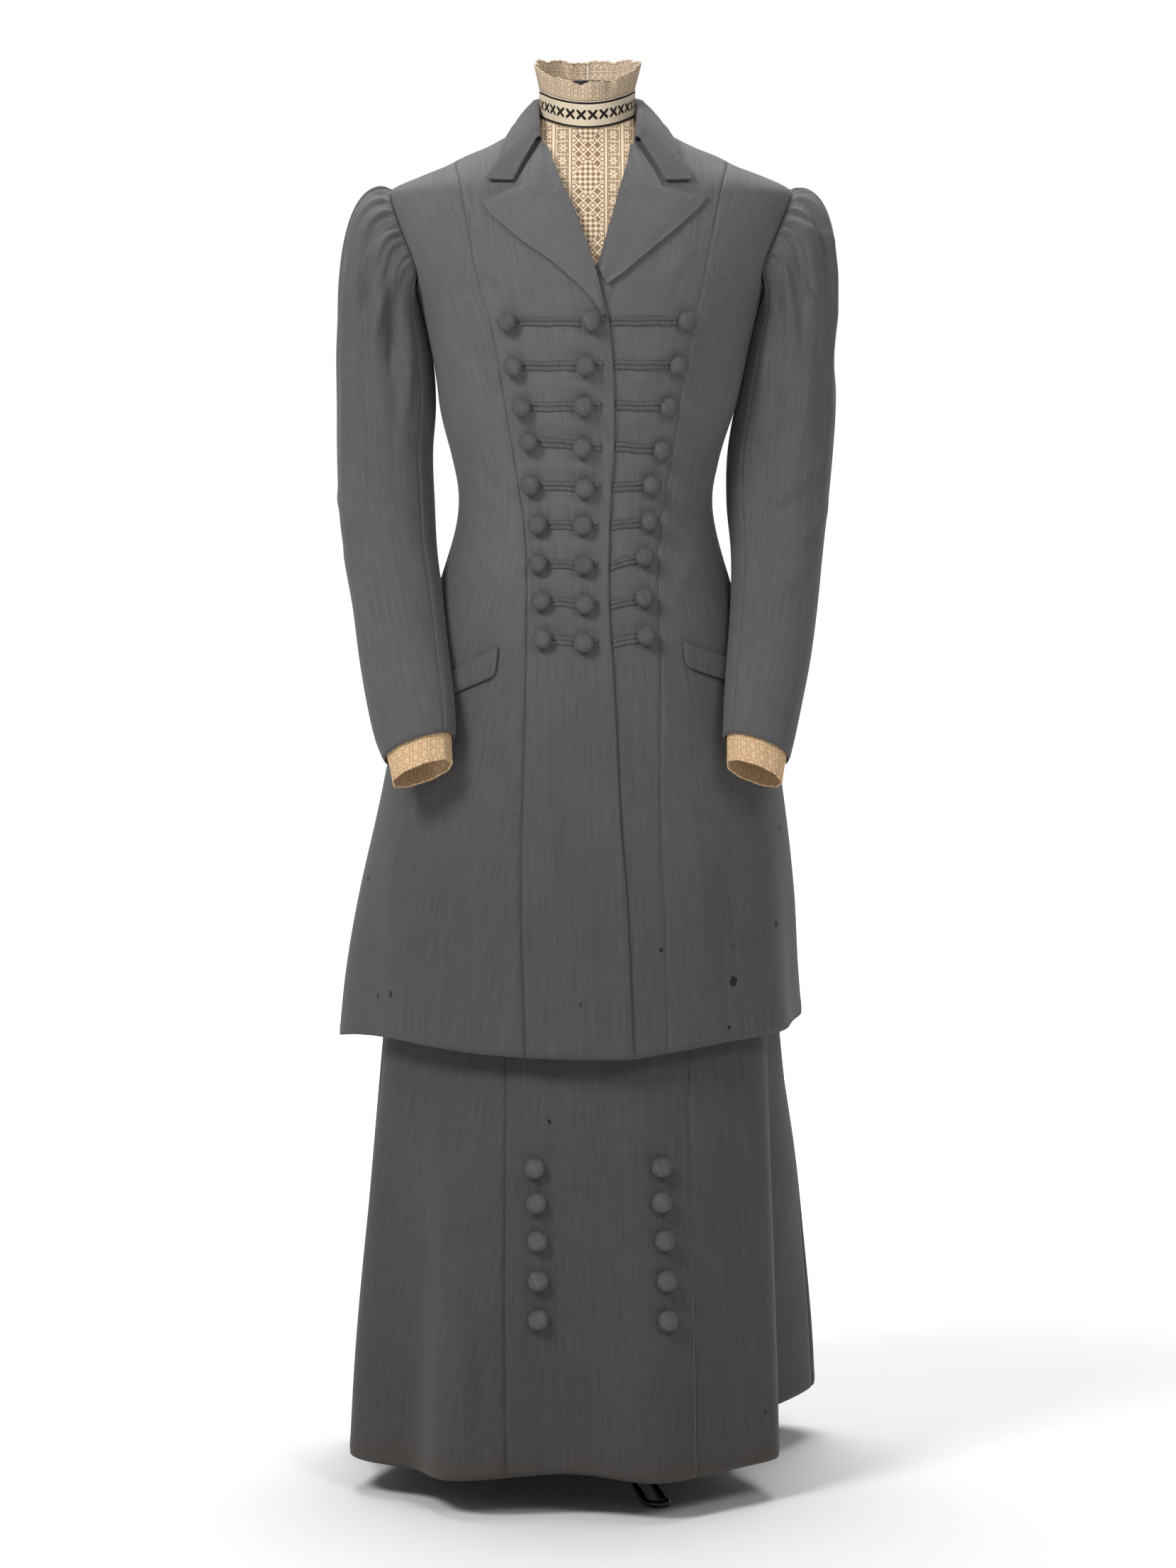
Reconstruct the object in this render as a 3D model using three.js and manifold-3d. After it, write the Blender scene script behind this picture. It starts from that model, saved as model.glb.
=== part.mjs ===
// A grey wool walking suit (jacket and gored skirt) with a lace chemisette, standing on a limbless
// dress form. Millimetres, +Z up, the floor at z = 0. Left and right are the viewer's, who looks
// along +Y: -X is on the viewer's left. The cloth is a thin wall; its outer face is worked out from
// rings at named heights, and its inner face is the same surface moved in.
import * as THREE from "three";
import { mergeVertices } from "three/addons/utils/BufferGeometryUtils.js";
import Module from "manifold-3d";

const wasm = await Module();
wasm.setup();

// Driving sizes
const CLOTH = 2; // wall of the wool cloth
const LACE = 1.4; // wall of the lace
const SEAM = 0.4; // gap between two panels at a seam
const LIFT = 1.2; // gap under a piece that lies on a panel
const OVERLAP_LIFT = 3; // how far the overlapping front stands off the one under it
const UNDERARM = 1215; // height of the lowest point of the armhole
const SHOULDER_TIP = 1318; // height where the armhole meets the shoulder seam
const NECK_POINT = 1384; // height where the shoulder seam meets the neckline
const BUTTON_RADIUS = 10.2;
const BUTTON_HEIGHT = 13;
const ROD = 4; // half the thickness of the stand's rod
const CENTRE_Y = 25; // middle of the suit's depth, brought to the origin

// Rings of the jacket's outer face: half widths to the left and right, y of the front, of the back
// and of the widest place. Between 1215 and 1318 the sides are only guides for the armholes.
const BODY = [
  { z: 440, left: 253, right: 226, front: -206, back: 253, side: 26 },
  { z: 520, left: 246, right: 219, front: -193, back: 238, side: 26 },
  { z: 600, left: 234, right: 214, front: -178, back: 221, side: 25 },
  { z: 690, left: 215, right: 203, front: -159, back: 197, side: 22 },
  { z: 780, left: 196, right: 188, front: -140, back: 170, side: 17 },
  { z: 860, left: 172, right: 166, front: -125, back: 139, side: 10 },
  { z: 925, left: 150, right: 144, front: -114, back: 106, side: 2 },
  { z: 975, left: 135, right: 130, front: -108, back: 84, side: -4 },
  { z: 1010, left: 132, right: 127, front: -108, back: 78, side: -5 },
  { z: 1050, left: 139, right: 135, front: -113, back: 82, side: -3 },
  { z: 1100, left: 150, right: 151, front: -123, back: 93, side: 1 },
  { z: 1150, left: 159, right: 162, front: -132, back: 104, side: 4 },
  { z: 1190, left: 168, right: 172, front: -135, back: 112, side: 7 },
  { z: 1215, left: 176, right: 180, front: -133, back: 116, side: 8 },
  { z: 1240, left: 190, right: 193, front: -130, back: 119, side: 9 },
  { z: 1264, left: 201, right: 204, front: -125, back: 120, side: 10 },
  { z: 1290, left: 205, right: 209, front: -118, back: 118, side: 11 },
  { z: 1306, left: 204, right: 209, front: -113, back: 115, side: 11 },
  { z: 1318, left: 199, right: 205, front: -109, back: 112, side: 11 },
  { z: 1330, left: 173, right: 181, front: -104, back: 108, side: 10 },
  { z: 1341, left: 147, right: 153, front: -98, back: 103, side: 9 },
  { z: 1352, left: 125, right: 131, front: -91, back: 97, side: 7 },
  { z: 1362, left: 101, right: 106, front: -85, back: 90, side: 5 },
  { z: 1373, left: 81, right: 84, front: -79, back: 81, side: 3 },
  { z: 1384, left: 63, right: 64, front: -75, back: 72, side: 2 },
];
const POWER = 2.2; // of the superellipse that each ring follows

// Angle round the ring of the armhole's front edge; its back edge mirrors it about the side.
const ARMHOLE = [
  { z: 1215, angle: 90 },
  { z: 1219, angle: 78 },
  { z: 1228, angle: 69 },
  { z: 1245, angle: 65 },
  { z: 1264, angle: 65 },
  { z: 1285, angle: 69 },
  { z: 1302, angle: 75 },
  { z: 1312, angle: 82 },
  { z: 1318, angle: 90 },
];

// Distance of each lengthwise seam from the middle of the front or back
const SEAMS = [
  { z: 440, left: 61, right: 80, back: 138, edge: 45 },
  { z: 600, left: 66, right: 76, back: 116, edge: 39 },
  { z: 690, left: 65, right: 72, back: 98, edge: 32 },
  { z: 820, left: 62, right: 73, back: 72, edge: 26 },
  { z: 900, left: 61, right: 71, back: 54, edge: 21 },
  { z: 960, left: 62, right: 71, back: 45, edge: 21 },
  { z: 1010, left: 68, right: 78, back: 42, edge: 23 },
  { z: 1060, left: 76, right: 86, back: 48, edge: 26 },
  { z: 1120, left: 86, right: 94, back: 62, edge: 26 },
  { z: 1180, left: 97, right: 105, back: 77, edge: 21 },
  { z: 1215, left: 108, right: 114, back: 86, edge: 12 },
  { z: 1281, left: 121, right: 127, back: 102, edge: -9 },
  { z: 1320, left: 129, right: 135, back: 111, edge: -26 },
  { z: 1346, left: 136, right: 142, back: 118, edge: -38 },
  { z: 1364, left: 140, right: 146, back: 122, edge: -46 },
];
// The front that lies under the other one: its edge, then its own roll line up to the neck
const UNDER_EDGE = [
  { z: 440, x: -22 },
  { z: 1180, x: -22 },
  { z: 1200, x: -12 },
  { z: 1222, x: 3 },
  { z: 1242, x: 10.5 },
  { z: 1281, x: 22 },
  { z: 1320, x: 33 },
  { z: 1346, x: 41 },
  { z: 1364, x: 46 },
];
const PRINCESS_TOP = 1347.5; // where the front seams meet the shoulder seam
const BACK_SEAM_TOP = 1354;
const SHOULDER_GAP = 0.002; // radians left free on each side of the shoulder and side seams
const ROLL_TOP = 1364; // where the roll line ends at the collar's gorge

// Height of the jacket's hem round the ring
const HEM = [
  { angle: -180, z: 461 },
  { angle: -135, z: 456 },
  { angle: -88, z: 453 },
  { angle: -68, z: 462 },
  { angle: -48, z: 465 },
  { angle: -20, z: 457 },
  { angle: 8, z: 454 },
  { angle: 20, z: 460 },
  { angle: 38, z: 467 },
  { angle: 60, z: 471 },
  { angle: 90, z: 473 },
  { angle: 135, z: 468 },
  { angle: 180, z: 461 },
];
// Soft lengthwise folds of the jacket's skirt: middle and half spread in degrees, height above
// the surface at the hem, and the height where the fold dies out
const JACKET_FOLDS = [
  { middle: 55, spread: 11, rise: 7, top: 760 },
  { middle: 76, spread: 12, rise: -7, top: 760 },
  { middle: -62, spread: 12, rise: -5, top: 700 },
  { middle: -80, spread: 12, rise: 6, top: 720 },
  { middle: 138, spread: 12, rise: 9, top: 900 },
  { middle: 160, spread: 14, rise: -9, top: 900 },
  { middle: -138, spread: 12, rise: 9, top: 900 },
  { middle: -160, spread: 14, rise: -9, top: 900 },
];
const LOWER_ROWS = [1215, 1175, 1130, 1085, 1045, 1005, 965, 915, 855, 780, 690, 580];
const UPPER_SHARES = [1, 0.97, 0.9, 0.76, 0.56, 0.33, 0.1]; // of the way from the underarm to a seam's top

const toRadians = THREE.MathUtils.degToRad;
const lerp = THREE.MathUtils.lerp;
const smooth = (from, to, value) => THREE.MathUtils.smoothstep(value, from, to);

// A column of a table at a value of its rising key, on a smooth curve through the rows
function read(table, key, at, column) {
  const last = table.length - 1;
  if (at <= table[0][key]) return table[0][column];
  if (at >= table[last][key]) return table[last][column];
  const i = table.findIndex((row) => row[key] > at) - 1;
  const [a, b] = [table[i], table[i + 1]];
  const before = table[Math.max(i - 1, 0)];
  const after = table[Math.min(i + 2, last)];
  const span = b[key] - a[key];
  const leave = ((b[column] - before[column]) / (b[key] - before[key])) * span;
  const arrive = ((after[column] - a[column]) / (after[key] - a[key])) * span;
  const t = (at - a[key]) / span;
  const u = 1 - t;
  return (
    a[column] * u * u * (1 + 2 * t) + b[column] * t * t * (3 - 2 * t) + leave * t * u * u - arrive * t * t * u
  );
}

// The point of a superellipse ring at an angle: 0 at the front, 90 degrees at the right
function onRing(ring, angle) {
  const across = Math.sin(angle);
  const ahead = Math.cos(angle);
  const half = across < 0 ? ring.left : ring.right;
  const depth = ahead > 0 ? ring.front - ring.side : ring.back - ring.side;
  return {
    x: half * Math.sign(across) * Math.abs(across) ** (2 / POWER),
    y: ring.side + depth * Math.abs(ahead) ** (2 / POWER),
  };
}

// The ring of a table at a height, with its columns by name
function ringAt(table, z) {
  const ring = {};
  for (const column of ["left", "right", "front", "back", "side"]) ring[column] = read(table, "z", z, column);
  return ring;
}

// How far the soft folds of a table lift a surface at an angle (degrees) and height
function foldLift(folds, hem, angle, z) {
  let lift = 0;
  for (const fold of folds) {
    const away = (THREE.MathUtils.euclideanModulo(angle - fold.middle + 180, 360) - 180) / fold.spread;
    const fade = 1 - smooth(hem, fold.top, z);
    lift += fold.rise * fade * Math.exp(-away * away);
  }
  return lift;
}

// A surface made of rings: a point moved out along the surface's own normal
function surfacePoint(table, folds, hem, top, z, angle, out) {
  const at = (height, turn) => {
    const ring = ringAt(table, height);
    const lift = foldLift(folds, hem, THREE.MathUtils.radToDeg(turn), height);
    const p = onRing(ring, turn);
    return new THREE.Vector3(p.x + lift * Math.sin(turn), p.y - lift * Math.cos(turn), height);
  };
  const step = 0.03;
  const rise = 3;
  const around = at(z, angle + step).sub(at(z, angle - step));
  const down = at(z - rise, angle).sub(at(Math.min(z + rise, top), angle));
  const normal = down.cross(around).normalize();
  return at(z, angle).addScaledVector(normal, out);
}

const JACKET_HEM = 455; // where the folds are full; the hem itself follows HEM
const bodyPoint = (z, angle, out = 0) => surfacePoint(BODY, JACKET_FOLDS, JACKET_HEM, NECK_POINT, z, angle, out);

// The angle on the jacket's ring of a point at x, on the front half
function angleAt(x, z) {
  const ring = ringAt(BODY, z);
  const share = Math.min(Math.abs(x) / (x < 0 ? ring.left : ring.right), 1);
  return Math.sign(x) * Math.asin(share ** (POWER / 2));
}

// One closed indexed geometry from points and triangles, its faces outwards
function solid(points, faces) {
  let volume = 0;
  for (let i = 0; i < faces.length; i += 3) {
    const [a, b, c] = [points[faces[i]], points[faces[i + 1]], points[faces[i + 2]]];
    volume += a.dot(new THREE.Vector3().crossVectors(b, c)) / 6;
  }
  if (volume < 0) faces.reverse();
  const geometry = new THREE.BufferGeometry();
  geometry.setAttribute("position", new THREE.Float32BufferAttribute(points.flatMap((p) => [p.x, p.y, p.z]), 3));
  geometry.setIndex(faces);
  return geometry;
}

// A wall between an outer and an inner grid of points; closed joins its last column to its first
function wall(outer, inner, closed = false) {
  const rows = outer.length;
  const columns = outer[0].length;
  const faces = [];
  const place = (side, row, column) => (side * rows + row) * columns + (column % columns);
  const quad = (a, b, c, d) => faces.push(a, b, c, a, c, d);
  const across = closed ? columns : columns - 1;
  for (let c = 0; c < across; c++) {
    for (let r = 0; r < rows - 1; r++) {
      quad(place(0, r, c), place(0, r + 1, c), place(0, r + 1, c + 1), place(0, r, c + 1));
      quad(place(1, r, c), place(1, r, c + 1), place(1, r + 1, c + 1), place(1, r + 1, c));
    }
    const low = rows - 1;
    quad(place(0, 0, c), place(0, 0, c + 1), place(1, 0, c + 1), place(1, 0, c));
    quad(place(0, low, c + 1), place(0, low, c), place(1, low, c), place(1, low, c + 1));
  }
  if (!closed) {
    const end = columns - 1;
    for (let r = 0; r < rows - 1; r++) {
      quad(place(0, r, 0), place(1, r, 0), place(1, r + 1, 0), place(0, r + 1, 0));
      quad(place(0, r, end), place(0, r + 1, end), place(1, r + 1, end), place(1, r, end));
    }
  }
  return solid([...outer.flat(), ...inner.flat()], faces);
}

// A solid of closed rings with a flat cap at each end
function lofted(rings) {
  const columns = rings[0].length;
  const faces = [];
  for (let r = 0; r < rings.length - 1; r++) {
    for (let c = 0; c < columns; c++) {
      const next = (c + 1) % columns;
      const [a, b] = [r * columns, (r + 1) * columns];
      faces.push(a + c, b + c, b + next, a + c, b + next, a + next);
    }
  }
  const last = (rings.length - 1) * columns;
  for (let c = 1; c < columns - 1; c++) {
    faces.push(0, c, c + 1);
    faces.push(last, last + c + 1, last + c);
  }
  return solid(rings.flat(), faces);
}

// Even values from one end to the other, both included
const spaced = (from, to, count) => Array.from({ length: count + 1 }, (_, i) => lerp(from, to, i / count));

const asManifold = (geometry) => {
  const bare = geometry.clone();
  bare.deleteAttribute("normal");
  bare.deleteAttribute("uv");
  const merged = mergeVertices(bare, 1e-3);
  return new wasm.Manifold(
    new wasm.Mesh({
      numProp: 3,
      vertProperties: merged.attributes.position.array,
      triVerts: new Uint32Array(merged.index.array),
    }),
  );
};

// Several overlapping geometries joined into one body
function joined(geometries) {
  const made = geometries.map(asManifold).reduce((whole, piece) => whole.add(piece)).getMesh();
  const geometry = new THREE.BufferGeometry();
  geometry.setAttribute("position", new THREE.BufferAttribute(new Float32Array(made.vertProperties), 3));
  geometry.setIndex(new THREE.BufferAttribute(new Uint32Array(made.triVerts), 1));
  return geometry;
}

const suit = new THREE.Group();
suit.position.set(0, -CENTRE_Y, 0);
const FINISHES = {
  wool: { color: 0x58575a, roughness: 0.9, metalness: 0 },
  skirt: { color: 0x4b4a4c, roughness: 0.9, metalness: 0 },
  lace: { color: 0xd0b698, roughness: 0.85, metalness: 0 },
  form: { color: 0x141314, roughness: 0.6, metalness: 0 },
  rod: { color: 0x0b0b0c, roughness: 0.25, metalness: 0.6 },
};

function add(name, geometry, finish) {
  geometry.computeVertexNormals();
  const mesh = new THREE.Mesh(geometry, new THREE.MeshStandardMaterial(FINISHES[finish]));
  mesh.name = name;
  suit.add(mesh);
}

// Jacket body

const armholeAngle = (z) => toRadians(read(ARMHOLE, "z", z, "angle"));
const seamX = (name) => (z) => read(SEAMS, "z", z, name);
const QUARTER = Math.PI / 2;
const sideFrontAngle = (z) => (z > UNDERARM ? armholeAngle(z) : QUARTER);
// The angle of a lengthwise seam, measured from the middle; it runs up into the shoulder seam.
function seamAngle(name, side, top, z) {
  const angle = Math.abs(angleAt(side * seamX(name)(z), z));
  return lerp(angle, QUARTER, smooth(top - 3, top, z));
}

// The overlapping front stands off the other one from the princess seam to its edge.
const overlapOut = (x) => OVERLAP_LIFT * smooth(-75, -22, x);

// The top edge of a centre panel, which ends at the top of its seam: half its width round the
// neck from x and z of its start to the neck point, half along the shoulder seam.
function topEdge(panel, place) {
  const shoulder = (z) => panel.side * (panel.side < 0 ? ringAt(BODY, z).left : ringAt(BODY, z).right);
  if (place > 0.5) {
    const z = lerp(NECK_POINT, panel.to.top, 2 * place - 1);
    return { x: shoulder(z), z };
  }
  const neck = panel.neck;
  return { x: lerp(neck.x, shoulder(NECK_POINT), 2 * place), z: lerp(neck.z, NECK_POINT, 2 * place) };
}

// A point of a centre panel, whose columns are spread over its width in x
function centrePlace(panel, share, fromZ, toZ, place) {
  const weight = share ** 2;
  const side = panel.side;
  const x = lerp(panel.from.x(fromZ), panel.to.x(toZ), place);
  const plainX = lerp(panel.neck.x, topEdge(panel, 1).x, place);
  const plainZ = lerp(panel.neck.z, panel.to.top, place);
  const top = topEdge(panel, place);
  const z = lerp(fromZ, toZ, place) + weight * (top.z - plainZ);
  if (place === 1) return { z, angle: panel.to.angle(toZ) };
  const angle = angleAt(x + weight * (top.x - plainX), z);
  return { z, angle: panel.front ? angle : side * (Math.PI - Math.abs(angle)) };
}

// The grid of a jacket panel from one lengthwise edge out to the next. Each edge has an angle for
// a height and a top; those of a centre panel have an x too, and neck is where its top starts.
function panelGrid(panel, out) {
  const rows = [
    ...UPPER_SHARES.map((share) => ({ share, z: UNDERARM })),
    ...LOWER_ROWS.map((z) => ({ share: 0, z })),
    { share: 0, z: JACKET_HEM, hem: true },
  ];
  const grid = rows.map((row) => {
    const fromZ = lerp(row.z, panel.from.top, row.share);
    const toZ = lerp(row.z, panel.to.top, row.share);
    return spaced(0, 1, panel.columns).map((place) => {
      let { z, angle } = panel.neck
        ? centrePlace(panel, row.share, fromZ, toZ, place)
        : { z: lerp(fromZ, toZ, place), angle: lerp(panel.from.angle(fromZ), panel.to.angle(toZ), place) };
      const size = Math.abs(angle);
      const kept = panel.front ? Math.min(size, QUARTER - SHOULDER_GAP) : Math.max(size, QUARTER + SHOULDER_GAP);
      angle = Math.sign(angle) * kept;
      if (row.hem) z = read(HEM, "angle", THREE.MathUtils.radToDeg(angle), "z");
      const x = bodyPoint(z, angle).x;
      return bodyPoint(z, angle, out + (panel.overlaps ? overlapOut(x) : 0));
    });
  });
  return drawnIn(grid);
}

// A grid with its first and last columns moved in, square to the seam, by half the seam's gap
function drawnIn(grid) {
  const last = grid[0].length - 1;
  return grid.map((row, r) =>
    row.map((point, c) => {
      if (c > 0 && c < last) return point;
      const above = grid[Math.max(r - 1, 0)][c];
      const along = grid[Math.min(r + 1, grid.length - 1)][c].clone().sub(above).normalize();
      const across = row[c ? last - 1 : 1].clone().sub(point);
      across.addScaledVector(along, -across.dot(along)).normalize();
      return point.clone().addScaledVector(across, SEAM / 2);
    }),
  );
}

const panelFaces = {}; // outer grid of each panel, for what lies on it

function addPanel(panel) {
  panelFaces[panel.name] = panelGrid(panel, 0);
  add(panel.name, wall(panelFaces[panel.name], panelGrid(panel, -CLOTH)), "wool");
}

for (const side of [-1, 1]) {
  const hand = side < 0 ? "left" : "right";
  const frontSeam = {
    x: (z) => side * seamX(hand)(z),
    angle: (z) => side * seamAngle(hand, side, PRINCESS_TOP, z),
    top: PRINCESS_TOP,
  };
  const backSeam = {
    x: (z) => side * seamX("back")(z),
    angle: (z) => side * (Math.PI - seamAngle("back", side, BACK_SEAM_TOP, z)),
    top: BACK_SEAM_TOP,
  };
  const frontEdge = { x: side < 0 ? seamX("edge") : (z) => read(UNDER_EDGE, "z", z, "x"), top: ROLL_TOP };
  const sideSeam = { angle: (z) => side * sideFrontAngle(z), top: SHOULDER_TIP };
  const sideSeamBack = { angle: (z) => side * (Math.PI - sideFrontAngle(z)), top: SHOULDER_TIP };
  addPanel({
    name: `jacket_front_${hand}`,
    side,
    front: true,
    from: frontEdge,
    to: frontSeam,
    neck: { x: frontEdge.x(ROLL_TOP), z: ROLL_TOP },
    overlaps: side < 0,
    columns: 6,
  });
  addPanel({
    name: `jacket_side_front_${hand}`,
    side,
    front: true,
    from: frontSeam,
    to: sideSeam,
    columns: 4,
  });
  addPanel({ name: `jacket_side_back_${hand}`, side, from: backSeam, to: sideSeamBack, columns: 4 });
  addPanel({
    name: `jacket_back_${hand}`,
    side,
    from: { x: () => 0, top: NECK_POINT },
    to: backSeam,
    neck: { x: 0, z: NECK_POINT },
    columns: 4,
  });
}

// Lapels: rows from the break, where the front starts to roll back, up to the collar's gorge.
// roll is the x of the fold, edge the x of the outer edge, each with its height.
const LAPEL_LEFT = [
  { roll: 18.5, rollZ: 1188, edge: 16, edgeZ: 1187 },
  { roll: 14, rollZ: 1206, edge: 6, edgeZ: 1201 },
  { roll: 9.5, rollZ: 1226, edge: -8, edgeZ: 1217 },
  { roll: 3.5, rollZ: 1247, edge: -33, edgeZ: 1239 },
  { roll: -4, rollZ: 1268, edge: -67, edgeZ: 1263 },
  { roll: -11, rollZ: 1286, edge: -97, edgeZ: 1289 },
  { roll: -15, rollZ: 1296, edge: -106, edgeZ: 1303 },
  { roll: -24, rollZ: 1315, edge: -73, edgeZ: 1315.5 },
  { roll: -34, rollZ: 1338, edge: -59.5, edgeZ: 1338 },
  { roll: -42, rollZ: 1357, edge: -46.5, edgeZ: 1357 },
];
const LAPEL_RIGHT = [
  { roll: 11.5, rollZ: 1233, edge: 19, edgeZ: 1219 },
  { roll: 14.5, rollZ: 1246, edge: 36, edgeZ: 1231 },
  { roll: 18.5, rollZ: 1262, edge: 56, edgeZ: 1248 },
  { roll: 23, rollZ: 1279, edge: 86, edgeZ: 1273 },
  { roll: 27, rollZ: 1294, edge: 112, edgeZ: 1297 },
  { roll: 29, rollZ: 1300, edge: 118, edgeZ: 1306 },
  { roll: 34, rollZ: 1316, edge: 74, edgeZ: 1316 },
  { roll: 39, rollZ: 1338, edge: 60.5, edgeZ: 1338 },
  { roll: 43, rollZ: 1357, edge: 47.5, edgeZ: 1357 },
];
const LAPEL_COLUMNS = 4;
const LAPEL_LIFT = 1.6; // gap under the lapels and the collar
const LAPEL_ROLL = 1.2; // how far the lapel puffs off the chest beside its fold

// Where the line along Y through x and z meets a triangle's plane, and how far outside it lies
function meet(a, b, c, x, z) {
  const area = (b.x - a.x) * (c.z - a.z) - (c.x - a.x) * (b.z - a.z);
  const toB = ((x - a.x) * (c.z - a.z) - (c.x - a.x) * (z - a.z)) / area;
  const toC = ((b.x - a.x) * (z - a.z) - (x - a.x) * (b.z - a.z)) / area;
  return { y: a.y + toB * (b.y - a.y) + toC * (c.y - a.y), outside: Math.max(-toB, -toC, toB + toC - 1) };
}

// A function that puts a point on the flat faces of some panels at x and z, moved out from them
function restingOn(smoothPoint, ...names) {
  const faces = names.flatMap((name) => {
    const grid = panelFaces[name];
    return grid.slice(1).flatMap((row, r) =>
      row.slice(1).flatMap((corner, c) => [
        [grid[r][c], row[c], corner],
        [grid[r][c], corner, grid[r][c + 1]],
      ]),
    );
  });
  return (x, z, out) => {
    let best = { y: 0, outside: Infinity };
    for (const [a, b, c] of faces) {
      const found = meet(a, b, c, x, z);
      if (found.outside < best.outside) best = found;
    }
    const normal = smoothPoint(x, z, 1).sub(smoothPoint(x, z, 0));
    return new THREE.Vector3(x, best.y, z).addScaledVector(normal, out);
  };
}
const onBody = (x, z, out) => bodyPoint(z, angleAt(x, z), out);
const onFront = restingOn(onBody, "jacket_front_left", "jacket_side_front_left");
const onUnderFront = restingOn(onBody, "jacket_front_right", "jacket_side_front_right");

function lapel(rows, place, out) {
  return [...rows].reverse().map((row) =>
    spaced(0, 1, LAPEL_COLUMNS).map((share) => {
      const x = lerp(row.roll, row.edge, share);
      const z = lerp(row.rollZ, row.edgeZ, share);
      const puff = LAPEL_ROLL * Math.sin(Math.PI * share) ** 2;
      return place(x, z, out + puff);
    }),
  );
}
const addLapel = (name, rows, place) =>
  add(name, wall(lapel(rows, place, LAPEL_LIFT + CLOTH), lapel(rows, place, LAPEL_LIFT)), "wool");
addLapel("lapel_left", LAPEL_LEFT, onFront);
addLapel("lapel_right", LAPEL_RIGHT, onUnderFront);

// Collar: stations from the middle of the back (0) to the gorge (8). fold is the top of the roll,
// edge lies on the jacket at a height and an angle, stand is how deep the inside goes, and puff
// how far the fall stands off the straight line from fold to edge.
const COLLAR = [
  { s: 0, foldX: 0, foldY: 64, foldZ: 1413, edgeZ: 1360, edgeAngle: 180, stand: 22, puff: 4 },
  { s: 1, foldX: 24, foldY: 60, foldZ: 1413, edgeZ: 1360, edgeAngle: 152, stand: 22, puff: 4 },
  { s: 2, foldX: 43, foldY: 46, foldZ: 1413, edgeZ: 1359, edgeAngle: 128, stand: 22, puff: 4 },
  { s: 3, foldX: 52, foldY: 25, foldZ: 1412, edgeZ: 1362, edgeAngle: 108, stand: 21, puff: 4 },
  { s: 4, foldX: 55, foldY: -2, foldZ: 1410, edgeZ: 1367, edgeAngle: 90, stand: 19, puff: 4 },
  { s: 5, foldX: 55, foldY: -28, foldZ: 1404, edgeZ: 1358, edgeAngle: 62, stand: 15, puff: 4 },
  { s: 6, foldX: 52.5, foldY: -54, foldZ: 1394, edgeZ: 1343, edgeAngle: 38, stand: 11, puff: 3 },
  { s: 7, foldX: 50, foldY: -72, foldZ: 1380, edgeZ: 1320, edgeAngle: 28.5, stand: 8, puff: 2 },
  { s: 8, foldX: 48.5, foldY: -80.5, foldZ: 1367, edgeZ: 1320.5, edgeAngle: 20, stand: 4, puff: 1.2 },
];
const COLLAR_STATIONS = [-8, -7, -6, -5.4, -4.8, -4.2, -3.6, -3, -2.4, -1.8, -1.2, -0.6];

function collarRow(signed) {
  const s = Math.abs(signed);
  const side = signed < 0 ? -1 : 1;
  const value = (column) => read(COLLAR, "s", s, column);
  const fold = new THREE.Vector3(side * value("foldX"), value("foldY"), value("foldZ"));
  const angle = side * toRadians(value("edgeAngle"));
  const edge = bodyPoint(value("edgeZ"), angle, LAPEL_LIFT + CLOTH);
  const under = bodyPoint(value("edgeZ"), angle, LAPEL_LIFT);
  const fall = edge.clone().sub(fold);
  const outward = new THREE.Vector3(fold.x, fold.y + 4, 0).normalize();
  const normal = fall.clone().normalize();
  normal.multiplyScalar(-normal.dot(outward)).add(outward).normalize();
  const stand = value("stand");
  const outer = [
    fold.clone().addScaledVector(outward, -CLOTH / 2).add(new THREE.Vector3(0, 0, -stand)),
    fold.clone().addScaledVector(outward, -CLOTH / 2).add(new THREE.Vector3(0, 0, -2)),
    fold.clone().add(new THREE.Vector3(0, 0, CLOTH / 2)),
  ];
  const inner = [
    fold.clone().addScaledVector(outward, CLOTH / 2).add(new THREE.Vector3(0, 0, -stand)),
    fold.clone().addScaledVector(outward, CLOTH / 2).add(new THREE.Vector3(0, 0, -4.5)),
    fold.clone().addScaledVector(outward, CLOTH * 0.6).add(new THREE.Vector3(0, 0, -3)),
  ];
  for (const share of [0.25, 0.6]) {
    const puff = value("puff") * 4 * share * (1 - share);
    const middle = fold.clone().addScaledVector(fall, share);
    outer.push(middle.clone().addScaledVector(normal, puff + CLOTH / 2));
    inner.push(middle.clone().addScaledVector(normal, puff - CLOTH / 2));
  }
  outer.push(edge);
  inner.push(under);
  return { outer, inner };
}
const collarRows = [...COLLAR_STATIONS, 0, ...COLLAR_STATIONS.map((s) => -s).reverse()].map(collarRow);
add("collar", wall(collarRows.map((row) => row.outer), collarRows.map((row) => row.inner)), "wool");

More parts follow.
